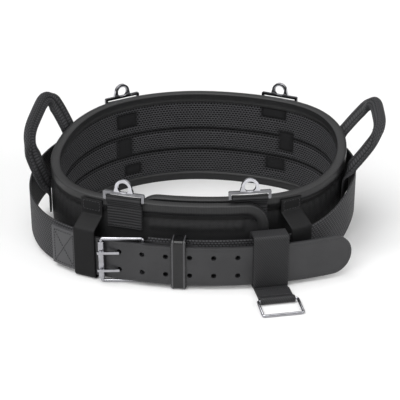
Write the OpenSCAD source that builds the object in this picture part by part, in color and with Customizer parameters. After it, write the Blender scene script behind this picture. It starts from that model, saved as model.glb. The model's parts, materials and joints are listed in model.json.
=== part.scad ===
// Tool belt: padded back support, webbing belt and leather front strap with a two-prong roller buckle.
// Millimetres. X runs to the right, Y to the back and Z up; the front faces -Y.

/* [Overall] */
// Middle of the ring to the front of the leather strap
front_reach = 145; // [140:1:150]
// Middle of the ring to the back of the pad
back_reach = 144; // [140:1:148]
// Radius of the front curve at the face of the leather strap
front_r = 330; // [320:5:340]

/* [Pad] */
// Thickness of the pad at its crown
pad_t = 12; // [10:0.5:13]
// Height of the pad at the front wings
pad_front_h = 88; // [84:1:94]
// Height of the pad at the back
pad_back_h = 114; // [110:1:120]

/* [Belt] */
// Width of the webbing belt
web_w = 50.8; // [47:0.2:51.8]
// Thickness of the webbing belt
web_t = 2.4; // [2:0.1:2.8]
// Width of the leather strap
strap_w = 44.5; // [42:0.5:46]
// Thickness of the leather strap
strap_t = 3.8; // [3.2:0.1:4.2]
// Step from one pair of holes to the next
hole_pitch = 25.4; // [24:0.2:27]
// Step between the two rows of holes
hole_gap = 21; // [18:0.5:23]
// Diameter of a hole
hole_d = 5.6; // [5.4:0.1:6.4]
// Number of pairs of holes
hole_pairs = 6; // [4:1:7]

/* [Buckle] */
// Diameter of the wire of the buckle frame
wire_d = 3.8; // [3.4:0.1:4.2]
// Diameter of the roller
roller_d = 6.8; // [6.6:0.2:8]
// Diameter of a prong
prong_d = 2.8; // [2.4:0.1:3]

/* [Tape, rings and handles] */
// Width of the tape that carries the rings
tape_w = 38; // [35:1:39]
// Thickness of the tape
tape_t = 1.8; // [1.5:0.1:2]
// Thickness of a ring
ring_t = 3; // [2.6:0.1:3.4]
// Diameter of the clip hole of a ring
ring_hole_d = 12; // [10:0.5:14]
// Rise of a handle over its sewn ends
handle_rise = 68; // [60:1:76]

/* [Hidden] */
$fn = 48;
// Gap between layers that lie on each other, and between a pin and its eye
gap = 0.4;
pin_gap = 0.3;
// Gap of a sewn seam
seam = 0.2;
// Lowest point of everything that lies on the ground beside the pad
foot = 0.4;
// How far the end of one stretch lies inside the faces of the next, and how far a bend runs into a bar
step_in = 0.05;
bend_in = 0.3;

// Lanes of the front curve, as radii about its centre, from the face of the strap inward
front_c = front_r - front_reach;
ply_t = 2;
fold_r = wire_d / 2 + pin_gap + ply_t;
strap_in_r = front_r - strap_t;
bar_line = strap_in_r - gap - fold_r;
web_out_r = bar_line - ply_t - seam;
web_in_r = web_out_r - web_t;
keeper_t = 1.5;
slide_lane = max(keeper_t, tape_t) + 3.6;
wing_out_r = web_in_r - slide_lane;
under_lane = tape_t + 3 * gap + tape_w * tape_w / 8 / front_r;
under_wing_r = wing_out_r - pad_t - under_lane;

// Heights
strap_z = foot + wire_d + 2 * gap;
strap_mid = strap_z + strap_w / 2;
web_z = foot + tape_t + pin_gap;
web_rise = 30;
web_rise_y = [[17 - front_reach, 152 - front_reach], [35 - front_reach, 295 - front_reach]];

// Side and back radii of the pad and of the belt, on the right and on the left, as shares of the depth
depth = front_reach + back_reach;
pad_side_r = [0.415, 0.346] * depth;
pad_back_r = [0.848, 0.571] * depth;
belt_side_r = [0.467, 0.45] * depth;
belt_back_r = [0.917, 0.796] * depth;
web_back = back_reach + 1.1 + web_t;
sewn = strap_t + seam;
pad_r = line(under_wing_r, pad_side_r[0], pad_back_r[0], under_wing_r - front_c, back_reach);
pad_l = line(wing_out_r, pad_side_r[1], pad_back_r[1], wing_out_r - front_c, back_reach);
belt_r = line(web_out_r, belt_side_r[0], belt_back_r[0], web_out_r - front_c, web_back);
belt_l = line(front_r, belt_side_r[1], belt_back_r[1], front_reach, web_back + sewn);

// Places along the front, as headings that are positive to the right
roller_s = 93;
roller_h = turn(-roller_s, front_r);
hole_0 = turn(18.5 - roller_s, front_r);
bar_h = turn(43 - roller_s, front_r);
keeper_h = turn(-10, front_r);
keeper_w = 16;
chape_h = turn(22, front_r);
hang_h = turn(87.5, front_r);
tip_h = turn(181, front_r);
strap_end_h = heading_at(belt_l, roller_s + 67.5);
end_d = strap_w + 4;

// Pad layers
shell_t = 2;
liner_t = 3;
bind_t = 0.8;
bind_h = 8;
pad_draw = 2.5;
pad_rise_y = [-100, 110];
groove = 1.8;
layer_gap = 0.1;
left_tip_h = turn(-84, wing_out_r);
right_tip_h = turn(-59.5, under_wing_r);
tip_round = 24;

// Rings and their eyes
ring_in = tape_w / 2 + 2 * gap;
ring_slot = 3.8;
eye_in = ring_t / 2 + gap;
eye_out = eye_in + tape_t;
front_ring_z = pad_front_h + gap + eye_out + 0.6;
back_ring_z = 108;
front_left_h = 12.6;
front_right_h = 12;
back_left_h = 143;
back_right_h = 159.5;
hang_wire = 3;
hang_eye_in = hang_wire / 2 + gap;
hang_eye_out = hang_eye_in + tape_t;
hang_eye_r = front_r + 34;
hang_reach = 26;

// Belt loops
loop_w = 25.4;
loop_left_h = heading_at(belt_l, roller_s + 21);
loop_right_h = heading_at(belt_r, 122);

// Handles: heading and height of the rear and front end, how far the grip stands out and how high it rises
left_handle = [[113.5, 97], [80, 64], 24, handle_rise];
right_handle = [[113, 97], [76, 84], 32, handle_rise - 9];
handle_half_w = [5, 8];
handle_half_t = [1.5, 4];
tab_t = 2;
tab_h = 15;
tab_w = 30;
tab_over = 3;

// Shift that puts the origin under the middle of the whole belt: from handle to handle,
// and from the near corner of the hanger ring to the back of the webbing
shift_x = -(handle_point(1, right_handle, 0.5)[0] + handle_point(-1, left_handle, 0.5)[0]) / 2;
ring_front_y = front_c - (hang_eye_r + hang_reach + hang_wire / 2) * cos(hang_h) - (ring_in + hang_wire) * sin(hang_h);
shift_y = -(web_back + ring_front_y) / 2;

// Heading reached after a walk of s along a curve of radius r
function turn(s, r) = s / r * 180 / PI;

// Smooth step from 0 to 1
function ease(t) = let (c = max(0, min(1, t))) c * c * (3 - 2 * c);

// One side of a line round the waist as three arcs that meet without a corner:
// front, side and back radius, and the reach to the front and to the back
function line(rf, rs, rb, yf, yb) =
    let (b = rf - rs, c = rs - rb, d = rf + rb - yf - yb,
         h1 = acos((b * b + d * d - c * c) / (2 * b * d)),
         h2 = atan2(-b * sin(h1) / c, (d - b * cos(h1)) / c))
    [[[0, rf - yf], rf], [[b * sin(h1), rf - yf - b * cos(h1)], rs], [[0, yb - rb], rb], h1, h2];

// Heading reached after a walk of s along a line from the middle of the front
function heading_at(l, s) =
    let (s1 = l[3] * l[0][1] * PI / 180)
    s < s1 ? turn(s, l[0][1]) : l[3] + turn(s - s1, l[1][1]);

// The arc of a line that faces heading h
function arc_of(l, h) = h < l[3] ? l[0] : h < l[4] ? l[1] : l[2];

// Point of a line at heading h, moved out by d; side is 1 on the right and -1 on the left
function on(l, h, d, side) =
    let (a = arc_of(l, h))
    [side * (a[0][0] + (a[1] + d) * sin(h)), a[0][1] - (a[1] + d) * cos(h)];

// Point of the front curve at radius r and heading h
function front(r, h) = [r * sin(h), front_c - r * cos(h)];

// Headings from a up to b in n steps, without b
function steps(a, b, n) = [for (i = [0 : n - 1]) a + (b - a) * i / n];
function reverse(v) = [for (i = [len(v) - 1 : -1 : 0]) v[i]];

// Stations round the pad, from the tip of the right wing to the tip of the left wing
function half_stations(side, l, h0, turn_in) =
    [for (h = concat(steps(h0, h0 + turn_in, 4), steps(h0 + turn_in, l[3], 6),
                     steps(l[3], l[4], 14), steps(l[4], 180, 7))) [side, h]];
pad_stations = concat(
    half_stations(1, pad_r, right_tip_h, turn(tip_round, under_wing_r)), [[1, 180]],
    reverse(half_stations(-1, pad_l, left_tip_h, turn(tip_round, wing_out_r))));

function pad_line(side) = side > 0 ? pad_r : pad_l;
function pad_top(y) = pad_front_h + (pad_back_h - pad_front_h) * ease((y - pad_rise_y[0]) / (pad_rise_y[1] - pad_rise_y[0]));

// How far the corner of a wing tip is rounded off at a station
function tip_drop(s) =
    let (l = pad_line(s[0]), a = (s[1] - (s[0] > 0 ? right_tip_h : left_tip_h)) * l[0][1] * PI / 180)
    a < tip_round ? tip_round - sqrt(tip_round * tip_round - (tip_round - a) * (tip_round - a)) : 0;

// Drawing-in of the pad face at the part t of its height
function draw_in(t) = pad_draw * (2 * t - 1) * (2 * t - 1);

// Depth of the pad face at height z, where the pad is as high as at y
function seat(z, y) = draw_in(z / pad_top(y));

// Bottom and top of the pad at a station
function pad_ends(s) =
    let (y = on(pad_line(s[0]), s[1], 0, s[0])[1], d = tip_drop(s))
    [d, pad_top(y) - d];
function pad_point(s, d, z) = concat(on(pad_line(s[0]), s[1], d, s[0]), z);

// Parts of the height where a layer bends, with the edge of the binding among them
function bends(s) = let (e = pad_ends(s), b = bind_h / (e[1] - e[0])) [0, b, 0.3, 0.5, 0.7, 1 - b, 1];

// Height at the part t of the pad, kept clear of the binding
function layer_z(s, t) =
    let (e = pad_ends(s), k = bind_t + layer_gap)
    e[0] + max(k, min(e[1] - e[0] - k, t * (e[1] - e[0])));

// Closed ring of points of a layer between two depths under the outer face
function layer_ring(s, d_out, d_in) =
    concat([for (t = bends(s)) pad_point(s, d_out(t), layer_z(s, t))],
           [for (t = reverse(bends(s))) pad_point(s, d_in(t), layer_z(s, t))]);

// Closed skin through rings of equally many points
module skin(rings) {
    n = len(rings[0]);
    m = len(rings);
    polyhedron(
        [for (r = rings) for (p = r) p],
        concat([[for (i = [0 : n - 1]) i]],
               [for (j = [0 : m - 2]) for (i = [0 : n - 1]) [j * n + i, (j + 1) * n + i, j * n + (i + 1) % n]],
               [for (j = [0 : m - 2]) for (i = [0 : n - 1])
                   [j * n + (i + 1) % n, (j + 1) * n + i, (j + 1) * n + (i + 1) % n]],
               [[for (i = [n - 1 : -1 : 0]) (m - 1) * n + i]]));
}

// Flat outline of a tape of thickness t along a broken line
function unit(v) = v / norm(v);
function perp(v) = [-v[1], v[0]];
function mitre(p, i) =
    let (a = i > 0 ? unit(p[i] - p[i - 1]) : unit(p[1] - p[0]),
         b = i < len(p) - 1 ? unit(p[i + 1] - p[i]) : a,
         m = unit(perp(a) + perp(b)))
    m / (m * perp(a));
function ribbon(p, t) =
    concat([for (i = [0 : len(p) - 1]) p[i] - mitre(p, i) * t / 2],
           [for (i = [len(p) - 1 : -1 : 0]) p[i] + mitre(p, i) * t / 2]);

// Distance from point p along n to the circle of centre c and radius r
function reach(p, n, c, r) = let (v = p - c, b = v * n) -b + sqrt(b * b - v * v + r * r);

// Directions out of a line and along it at heading h
function out_dir(h, side) = [side * sin(h), -cos(h)];
function along_dir(h, side) = [cos(h), side * sin(h)];

// How far out a flat tape of width w at heading h of a line has to stand to clear an arc grown by d
function stand_off(l, h, side, arc, d, w) =
    max([for (k = [-1, 0, 1])
        reach(on(l, h, 0, side) + k * w / 2 * along_dir(h, side), out_dir(h, side),
              [side * arc[0][0], arc[0][1]], arc[1] + d)]);

// Whole belt moved to its origin
module place() translate([shift_x, shift_y, 0]) children();

// Turned so that -Y points out of the front curve at heading h, with the centre of that curve at the origin
module at_front(h) translate([0, front_c, 0]) rotate([0, 0, h]) children();

// Standing on a line, with -Y pointing out
module at_line(l, h, side) translate(concat(on(l, h, 0, side), 0)) rotate([0, 0, side * h]) children();

// Flat outline in Y and Z drawn out along X
module across(w) rotate([90, 0, 90]) linear_extrude(w, center = true) children();

// Curved band about centre c between two radii and two headings
module arc_band(c, r0, r1, z, h, a0, a1)
    translate([c[0], c[1], z])
        rotate([0, 0, a0 - 90])
            rotate_extrude(angle = a1 - a0)
                translate([r0, 0]) square([r1 - r0, h]);

// Frame of round wire in X and Z with bent corners; the middle of its wire passes through both given corners.
// Each bend runs a little way into its two bars, a hair inside their faces
module wire_frame(x1, z0, z1, d, bend) {
    for (x = [0, x1])
        translate([x, 0, z0 + bend]) cylinder(d = d, h = z1 - z0 - 2 * bend);
    for (z = [z0, z1])
        translate([bend, 0, z]) rotate([0, 90, 0]) cylinder(d = d, h = x1 - 2 * bend);
    for (c = [[bend, z0 + bend, 180], [x1 - bend, z0 + bend, 270], [x1 - bend, z1 - bend, 0], [bend, z1 - bend, 90]])
        translate([c[0], 0, c[1]])
            rotate([90, 0, 0]) rotate([0, 0, c[2] - turn(bend_in, bend)])
                rotate_extrude(angle = 90 + 2 * turn(bend_in, bend)) translate([bend, 0]) circle(d = d - 2 * step_in);
}

// Rectangle with round corners
module soft_rect(x0, y0, x1, y1, r) {
    translate([x0 + r, y0]) square([x1 - x0 - 2 * r, y1 - y0]);
    translate([x0, y0 + r]) square([x1 - x0, y1 - y0 - 2 * r]);
    for (x = [x0 + r, x1 - r])
        for (y = [y0 + r, y1 - r])
            translate([x, y]) circle(r = r);
}

// Takes off the corners of a strap end that runs out to the right at heading h
module end_cut(r, h)
    at_front(h - turn(end_d / 2, r))
        difference() {
            translate([0, -r - strap_t, strap_z - 1]) cube([end_d, 3 * strap_t, strap_w + 2]);
            translate([0, -r + 3 * strap_t, strap_mid]) rotate([90, 0, 0]) cylinder(d = end_d, h = 5 * strap_t);
        }

// Pad

module pad_shell()
    color([0.10, 0.10, 0.11])
        skin([for (s = pad_stations)
            layer_ring(s, function(t) -draw_in(t), function(t) -draw_in(t) - shell_t)]);

module pad_foam()
    color([0.35, 0.35, 0.36])
        skin([for (s = pad_stations)
            layer_ring(s, function(t) -draw_in(t) - shell_t - layer_gap,
                          function(t) draw_in(t) - pad_t + liner_t + layer_gap)]);

// Lining with two channels pressed in along the pad
channels = [0.36, 0.64];
function lining_face(s) =
    let (g = 0.03, e = bends(s))
    concat([0, e[1]], [for (c = channels) for (k = [-1 : 1]) c + k * g], [e[5], 1]);
function channel_depth(t) = len([for (c = channels) if (abs(t - c) < 0.01) c]) > 0 ? groove : 0;
module pad_liner()
    color([0.16, 0.16, 0.17])
        skin([for (s = pad_stations) concat(
            [for (t = bends(s)) pad_point(s, draw_in(t) - pad_t + liner_t, layer_z(s, t))],
            [for (t = reverse(lining_face(s)))
                pad_point(s, draw_in(t) - pad_t + channel_depth(t), layer_z(s, t))])]);

// Tape folded over an edge; up is 1 for the top edge and 0 for the bottom edge
function binding_ring(s, up) =
    let (e = pad_ends(s), z0 = up > 0 ? e[1] : e[0], k = up > 0 ? -1 : 1,
         b = bends(s)[1], o0 = -draw_in(b) + layer_gap, o1 = -draw_in(1) + layer_gap,
         ring = [[o0, bind_h], [o0 + bind_t, bind_h], [o1 + bind_t, bind_t], [o1, 0],
                 [-pad_t - o1, 0], [-pad_t - o1 - bind_t, bind_t], [-pad_t - o0 - bind_t, bind_h],
                 [-pad_t - o0, bind_h], [-pad_t - o1, bind_t], [o1, bind_t]])
    [for (p = up > 0 ? reverse(ring) : ring) pad_point(s, p[0], z0 + k * p[1])];
module binding(up)
    color([0.07, 0.07, 0.08])
        skin([for (s = pad_stations) binding_ring(s, up)]);
module pad_binding_top() binding(1);
module pad_binding_bottom() binding(0);

// Webbing belt, from the buckle round the back to the sewn end of the leather strap

function web_line(side) = side > 0 ? belt_r : belt_l;
function web_lift(side, y) =
    let (r = side > 0 ? web_rise_y[0] : web_rise_y[1])
    web_rise * ease((y - r[0]) / (r[1] - r[0]));
function web_point(s, d, up) =
    let (off = s[0] > 0 ? 0 : -sewn, p = on(web_line(s[0]), s[1], off, s[0]),
         z = web_z + web_lift(s[0], p[1]) + up * web_w)
    concat(on(web_line(s[0]), s[1], off + d, s[0]), z);
web_end_h = bar_h + turn(fold_r + 1.5, bar_line);
web_stations = concat(
    [for (h = concat(steps(web_end_h, belt_r[3], 5), steps(belt_r[3], belt_r[4], 18),
                     steps(belt_r[4], 180, 4))) [1, h]],
    [[1, 180]],
    reverse([for (h = concat(steps(belt_l[3], belt_l[4], 18), steps(belt_l[4], 180, 7))) [-1, h]]));
module webbing_belt()
    color([0.12, 0.12, 0.13])
        skin([for (s = web_stations)
            [web_point(s, 0, 0), web_point(s, 0, 1), web_point(s, -web_t, 1), web_point(s, -web_t, 0)]]);

// Leather strap, threaded through the buckle

function hole_h(i) = hole_0 + turn(i * hole_pitch, front_r);
module tip_strap()
    color([0.15, 0.14, 0.14])
        difference() {
            union() {
                arc_band([0, front_c], strap_in_r, front_r, strap_z, strap_w, -belt_l[3], tip_h);
                arc_band([-belt_l[1][0][0], belt_l[1][0][1]], belt_l[1][1] - strap_t + step_in, belt_l[1][1] - step_in,
                         strap_z + step_in, strap_w - 2 * step_in, -strap_end_h, turn(0.5, belt_l[1][1]) - belt_l[3]);
            }
            end_cut(front_r, tip_h);
            for (i = [0 : hole_pairs - 1])
                for (k = [-1, 1])
                    at_front(hole_h(i))
                        translate([0, -strap_in_r + 1, strap_mid + k * hole_gap / 2])
                            rotate([90, 0, 0]) cylinder(d = hole_d, h = strap_t + 2);
        }

// Buckle

bar = front(bar_line, bar_h);
roller_line = front_r + 0.6 + roller_d / 2;
roller_at = front(roller_line, roller_h);
frame_lo = foot + wire_d / 2;
frame_hi = strap_z + strap_w + 2 * gap + wire_d / 2;
eye_h = prong_d + 1;
slot_h = eye_h + 2;

// Two plies of leather folded round the hinge bar, with a slot for each prong
module buckle_chape()
    color([0.13, 0.12, 0.12])
        difference() {
            union() {
                difference() {
                    arc_band([0, front_c], bar_line - ply_t, bar_line + ply_t, strap_z, strap_w,
                             bar_h + turn(fold_r - 1, bar_line), chape_h);
                    end_cut(bar_line, chape_h);
                }
                translate([bar[0], bar[1], strap_z]) cylinder(r = fold_r, h = strap_w);
            }
            translate([bar[0], bar[1], strap_z - 1]) cylinder(r = wire_d / 2 + pin_gap, h = strap_w + 2);
            for (k = [-1, 1])
                translate([bar[0], bar[1], strap_mid + k * hole_gap / 2])
                    rotate([0, 0, bar_h])
                        translate([1, 0, 0]) cube([2 * fold_r + 4, 2 * fold_r + 2, slot_h], center = true);
        }

module buckle_frame()
    color([0.55, 0.55, 0.57])
        translate([bar[0], bar[1], 0])
            rotate([0, 0, atan2(roller_at[1] - bar[1], roller_at[0] - bar[0])])
                wire_frame(norm(roller_at - bar), frame_lo, frame_hi, wire_d, wire_d / 2 + 0.5);

module buckle_roller()
    color([0.62, 0.62, 0.64])
        translate([roller_at[0], roller_at[1], strap_z + gap])
            difference() {
                cylinder(d = roller_d, h = strap_w - 2 * gap);
                translate([0, 0, -1]) cylinder(d = wire_d + 2 * pin_gap, h = strap_w + 2);
            }

// A prong leaves the hinge bar under the strap, comes up through a hole and runs past the roller as a tangent
prong_knee = front(bar_line, hole_0);
prong_out = front(front_r + prong_d / 2 + 1, hole_0);
prong_clear = (roller_d + prong_d) / 2 + pin_gap;
prong_way = roller_at - prong_out;
prong_tilt = atan2(prong_way[1], prong_way[0]) + asin(prong_clear / norm(prong_way));
prong_run = sqrt(prong_way * prong_way - prong_clear * prong_clear) + 3;
prong_end = prong_out + prong_run * [cos(prong_tilt), sin(prong_tilt)];
prong_start = bar + (fold_r - 1.2) * unit(prong_knee - bar);
module prong(z)
    color([0.60, 0.60, 0.62])
        translate([0, 0, z]) {
            linear_extrude(prong_d, center = true) {
                polygon(ribbon([prong_start, prong_knee, prong_out, prong_end], prong_d));
                translate(prong_end) circle(d = prong_d);
            }
            translate([bar[0], bar[1], -eye_h / 2])
                difference() {
                    cylinder(r = wire_d / 2 + pin_gap + 1.4, h = eye_h);
                    translate([0, 0, -1]) cylinder(d = wire_d + 2 * pin_gap, h = eye_h + 2);
                }
        }
module prong_upper() prong(strap_mid + hole_gap / 2);
module prong_lower() prong(strap_mid - hole_gap / 2);

// Keeper, a closed leather band that slides along strap and webbing

keeper_in = web_in_r - 0.6;
keeper_out = front_r + 0.8;
keeper_top = web_z + web_w + 2.6;
module keeper()
    color([0.14, 0.13, 0.13])
        at_front(keeper_h)
            across(keeper_w)
                difference() {
                    soft_rect(-keeper_out - keeper_t, web_z - 0.5 - keeper_t,
                              -keeper_in + keeper_t, keeper_top + keeper_t, 3);
                    soft_rect(-keeper_out, web_z - 0.5, -keeper_in, keeper_top, 1.5);
                }

// Hanger, a tape looped round strap and webbing with a ring at the end of its tail

hang_in = wing_out_r + 0.5 + tape_t;
hang_out = front_r + 0.8;
hang_top = web_z + web_w + 6;
hang_eye_z = foot + hang_eye_out;
module hanger_strap()
    color([0.12, 0.12, 0.13])
        at_front(hang_h)
            across(tape_w)
                difference() {
                    union() {
                        difference() {
                            soft_rect(-hang_out - tape_t, foot, -hang_in + tape_t, hang_top + tape_t, 3);
                            soft_rect(-hang_out, foot + tape_t, -hang_in, hang_top, 1.2);
                        }
                        translate([-hang_eye_r, foot]) square([hang_eye_r - hang_out - 1, tape_t]);
                        translate([-hang_eye_r, hang_eye_z]) circle(r = hang_eye_out);
                    }
                    translate([-hang_eye_r, hang_eye_z]) circle(r = hang_eye_in);
                }

module hanger_ring()
    color([0.60, 0.60, 0.62])
        at_front(hang_h)
            translate([0, -hang_eye_r, hang_eye_z])
                rotate([90 + atan2(hang_eye_z - foot - hang_wire / 2, hang_reach), 0, 0])
                    translate([-ring_in - hang_wire / 2, 0, 0])
                        wire_frame(2 * ring_in + hang_wire, 0, hang_reach, hang_wire, hang_wire / 2 + 0.4);

// Belt loops sewn to the pad above and below the belt

module belt_loop(l, pad, h, side, leave_z, over_z)
    color([0.09, 0.09, 0.10])
        at_line(l, h, side)
            across(loop_w) {
                pad_y = seat(leave_z, on(l, h, 0, side)[1]) - stand_off(l, h, side, arc_of(pad, h), 0, loop_w)
                    - gap - tape_t / 2;
                out_y = -0.7 - tape_t / 2;
                low_z = foot + tape_t / 2;
                polygon(ribbon([[pad_y, pad_front_h - 3], [pad_y, leave_z], [out_y, over_z],
                                [out_y, low_z], [pad_y, low_z]], tape_t));
            }
module belt_loop_left() belt_loop(belt_l, pad_l, loop_left_h, -1, pad_front_h - 21, web_z + web_w + 4);
module belt_loop_right() belt_loop(belt_r, pad_r, loop_right_h, 1, pad_front_h - 17, web_z + web_w + 7);

// Tapes that carry the rings

// Front tapes are flat on a wing and end in an eye above its top edge
module ring_tape(l, h, side, low_z)
    color([0.10, 0.10, 0.11])
        at_line(l, h, side)
            across(tape_w)
                difference() {
                    union() {
                        translate([-gap - tape_t, low_z]) square([tape_t, front_ring_z - 1 - low_z]);
                        translate([-gap - eye_out, front_ring_z]) circle(r = eye_out);
                    }
                    translate([-gap - eye_out, front_ring_z]) circle(r = eye_in);
                }
module ring_tape_front_left() ring_tape(pad_l, front_left_h, -1, web_z + web_w + 4);
module ring_tape_front_right() ring_tape(pad_r, front_right_h, 1, pad_front_h - 34);

// Back straps stand off the pad to let the webbing through and carry a ring at the top
strap_low = [bind_h + 10, web_z + web_rise - 5.5];
strap_high = back_ring_z - 9;
module back_strap(l, h, side, off)
    color([0.10, 0.10, 0.11])
        at_line(l, h, side)
            across(tape_w)
                difference() {
                    pad_y = on(l, h, 0, side)[1];
                    low_y = seat(strap_low[0], pad_y) - gap - tape_t / 2;
                    top_y = seat(pad_top(pad_y) - bind_h, pad_y) - bind_t - gap - tape_t / 2;
                    out_y = -off - 0.8 - tape_t / 2;
                    union() {
                        polygon(ribbon([[top_y, back_ring_z - 1], [top_y, strap_high],
                                        [out_y, web_z + web_rise + web_w + 3], [out_y, strap_low[1]],
                                        [low_y, strap_low[0]], [low_y, bind_h + 1]], tape_t));
                        translate([-gap - eye_out, back_ring_z]) circle(r = eye_out);
                    }
                    translate([-gap - eye_out, back_ring_z]) circle(r = eye_in);
                }
module back_strap_left()
    back_strap(pad_l, back_left_h, -1, stand_off(pad_l, back_left_h, -1, belt_l[2], -sewn, tape_w));
module back_strap_right()
    back_strap(pad_r, back_right_h, 1, stand_off(pad_r, back_right_h, 1, belt_r[2], 0, tape_w));

// Rings: a slot for the tape, whose lower bar turns in the eye, and a tab with the clip hole

ring_top = ring_t / 2 + ring_slot + ring_t;
tab_r = ring_hole_d / 2 + ring_t;
tab_z = ring_top + ring_hole_d / 2 - 1;
module ring() {
    rotate([0, 90, 0]) cylinder(d = ring_t, h = 2 * ring_in + ring_t, center = true);
    rotate([90, 0, 0])
        linear_extrude(ring_t, center = true)
            difference() {
                union() {
                    soft_rect(-ring_in - ring_t, -ring_t / 2, ring_in + ring_t, ring_top, ring_t / 2);
                    translate([0, tab_z]) circle(r = tab_r);
                }
                translate([-ring_in, -ring_t]) square([2 * ring_in, ring_t * 1.5 + ring_slot]);
                translate([0, tab_z]) circle(d = ring_hole_d);
            }
}
module ring_at(l, h, side, z)
    color([0.58, 0.58, 0.60])
        at_line(l, h, side)
            translate([0, -gap - eye_out, z]) ring();
module ring_front_left() ring_at(pad_l, front_left_h, -1, front_ring_z);
module ring_front_right() ring_at(pad_r, front_right_h, 1, front_ring_z);
module ring_back_left() ring_at(pad_l, back_left_h, -1, back_ring_z);
module ring_back_right() ring_at(pad_r, back_right_h, 1, back_ring_z);

// Handles: a strap folded to a grip that arches from a rear to a front end beside the pad

// Lower edge of the tab at end i of handle v, and how far the tab stands out from the pad line
function tab_low(v, i) = v[i][1] + tab_over - tab_h;
function tab_out(side, v, i) =
    layer_gap + tab_t - seat(tab_low(v, i), on(pad_line(side), v[i][0], 0, side)[1]);

// Distance of an end from the pad line, just clear of its tab at every angle of the handle
function sewn_point(side, v, i) = concat(on(pad_line(side), v[i][0], 0, side), v[i][1]);
function end_off(side, v, i) =
    let (c = unit(sewn_point(side, v, 1) - sewn_point(side, v, 0)), n = concat(out_dir(v[i][0], side), 0))
    tab_out(side, v, i) + norm([handle_half_w[0] * (c * n), handle_half_t[0]]) + pin_gap;

function handle_end(side, v, i) = concat(on(pad_line(side), v[i][0], end_off(side, v, i), side), v[i][1]);
function chord(side, v) = handle_end(side, v, 1) - handle_end(side, v, 0);
function lift_dir(side, v) =
    let (c = chord(side, v), o = unit([c[1], -c[0]]) * -side)
    [o[0] * v[2], o[1] * v[2], v[3]];
function handle_point(side, v, t) =
    let (s = (1 - cos(180 * t)) / 2)
    handle_end(side, v, 0) + chord(side, v) * (0.35 * t + 0.65 * s) + lift_dir(side, v) * sin(180 * t);

// Oval cut through a handle, turned from the line between its ends to square on its arch
function handle_ring(side, v, t) =
    let (p = handle_point(side, v, t),
         g = unit(handle_point(side, v, t + 0.001) - handle_point(side, v, t - 0.001)),
         c = unit(chord(side, v)), m = unit(cross(chord(side, v), lift_dir(side, v))), q = cross(m, g),
         f = ease(min(t, 1 - t) / 0.22), w = unit((1 - f) * c * sign(q * c) + f * q),
         half_w = handle_half_w * [1 - f, f], half_t = handle_half_t * [1 - f, f])
    [for (i = [0 : 7]) p + w * half_w * cos(45 * i) + m * half_t * sin(45 * i)];
handle_steps = 26;
module handle(side, v)
    color([0.12, 0.12, 0.13])
        skin([for (i = [0 : handle_steps]) handle_ring(side, v, i / handle_steps)]);
module handle_left() handle(-1, left_handle);
module handle_right() handle(1, right_handle);

// Sewn ends of the handles, flat on the pad
module handle_tab(side, v, i)
    color([0.11, 0.11, 0.12])
        at_line(pad_line(side), v[i][0], side)
            translate([-tab_w / 2, -tab_out(side, v, i), tab_low(v, i)]) cube([tab_w, tab_t, tab_h]);
module handle_tab_left_rear() handle_tab(-1, left_handle, 0);
module handle_tab_left_front() handle_tab(-1, left_handle, 1);
module handle_tab_right_rear() handle_tab(1, right_handle, 0);
module handle_tab_right_front() handle_tab(1, right_handle, 1);

place() {
    pad_shell();
    pad_foam();
    pad_liner();
    pad_binding_top();
    pad_binding_bottom();
    webbing_belt();
    tip_strap();
    buckle_chape();
    buckle_frame();
    buckle_roller();
    prong_upper();
    prong_lower();
    keeper();
    hanger_strap();
    hanger_ring();
    belt_loop_left();
    belt_loop_right();
    ring_tape_front_left();
    ring_tape_front_right();
    back_strap_left();
    back_strap_right();
    ring_front_left();
    ring_front_right();
    ring_back_left();
    ring_back_right();
    handle_left();
    handle_right();
    handle_tab_left_rear();
    handle_tab_left_front();
    handle_tab_right_rear();
    handle_tab_right_front();
}
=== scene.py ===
"""Looks of a tool belt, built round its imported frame. Metres; X runs right, Y back and Z up."""
import json
import math

import bmesh
import bpy
import numpy as np
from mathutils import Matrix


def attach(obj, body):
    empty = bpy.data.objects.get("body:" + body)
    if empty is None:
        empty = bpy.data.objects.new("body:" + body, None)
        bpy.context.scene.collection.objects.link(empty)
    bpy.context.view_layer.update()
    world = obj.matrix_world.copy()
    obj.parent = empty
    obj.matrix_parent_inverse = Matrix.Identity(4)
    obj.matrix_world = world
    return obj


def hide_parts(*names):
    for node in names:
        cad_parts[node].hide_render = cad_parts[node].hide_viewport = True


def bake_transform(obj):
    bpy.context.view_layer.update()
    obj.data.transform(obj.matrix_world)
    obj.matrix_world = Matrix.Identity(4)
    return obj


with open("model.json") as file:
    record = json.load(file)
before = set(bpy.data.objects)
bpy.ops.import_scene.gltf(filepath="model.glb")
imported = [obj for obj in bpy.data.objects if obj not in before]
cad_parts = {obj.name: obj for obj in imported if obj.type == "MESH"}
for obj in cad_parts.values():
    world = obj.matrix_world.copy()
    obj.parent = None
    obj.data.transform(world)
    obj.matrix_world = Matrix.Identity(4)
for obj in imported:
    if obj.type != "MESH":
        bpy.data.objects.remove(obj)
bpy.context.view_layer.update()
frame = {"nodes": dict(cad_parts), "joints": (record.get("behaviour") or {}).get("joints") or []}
mm = 0.001
joints = {joint["name"]: joint for joint in frame["joints"]}

# Pad lining and foam
# The back support is a long foam pad whose two wings overlap at the front. Its inside is faced
# with black spacer mesh, sewn down along two channels and round the patches of the back straps.

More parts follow.
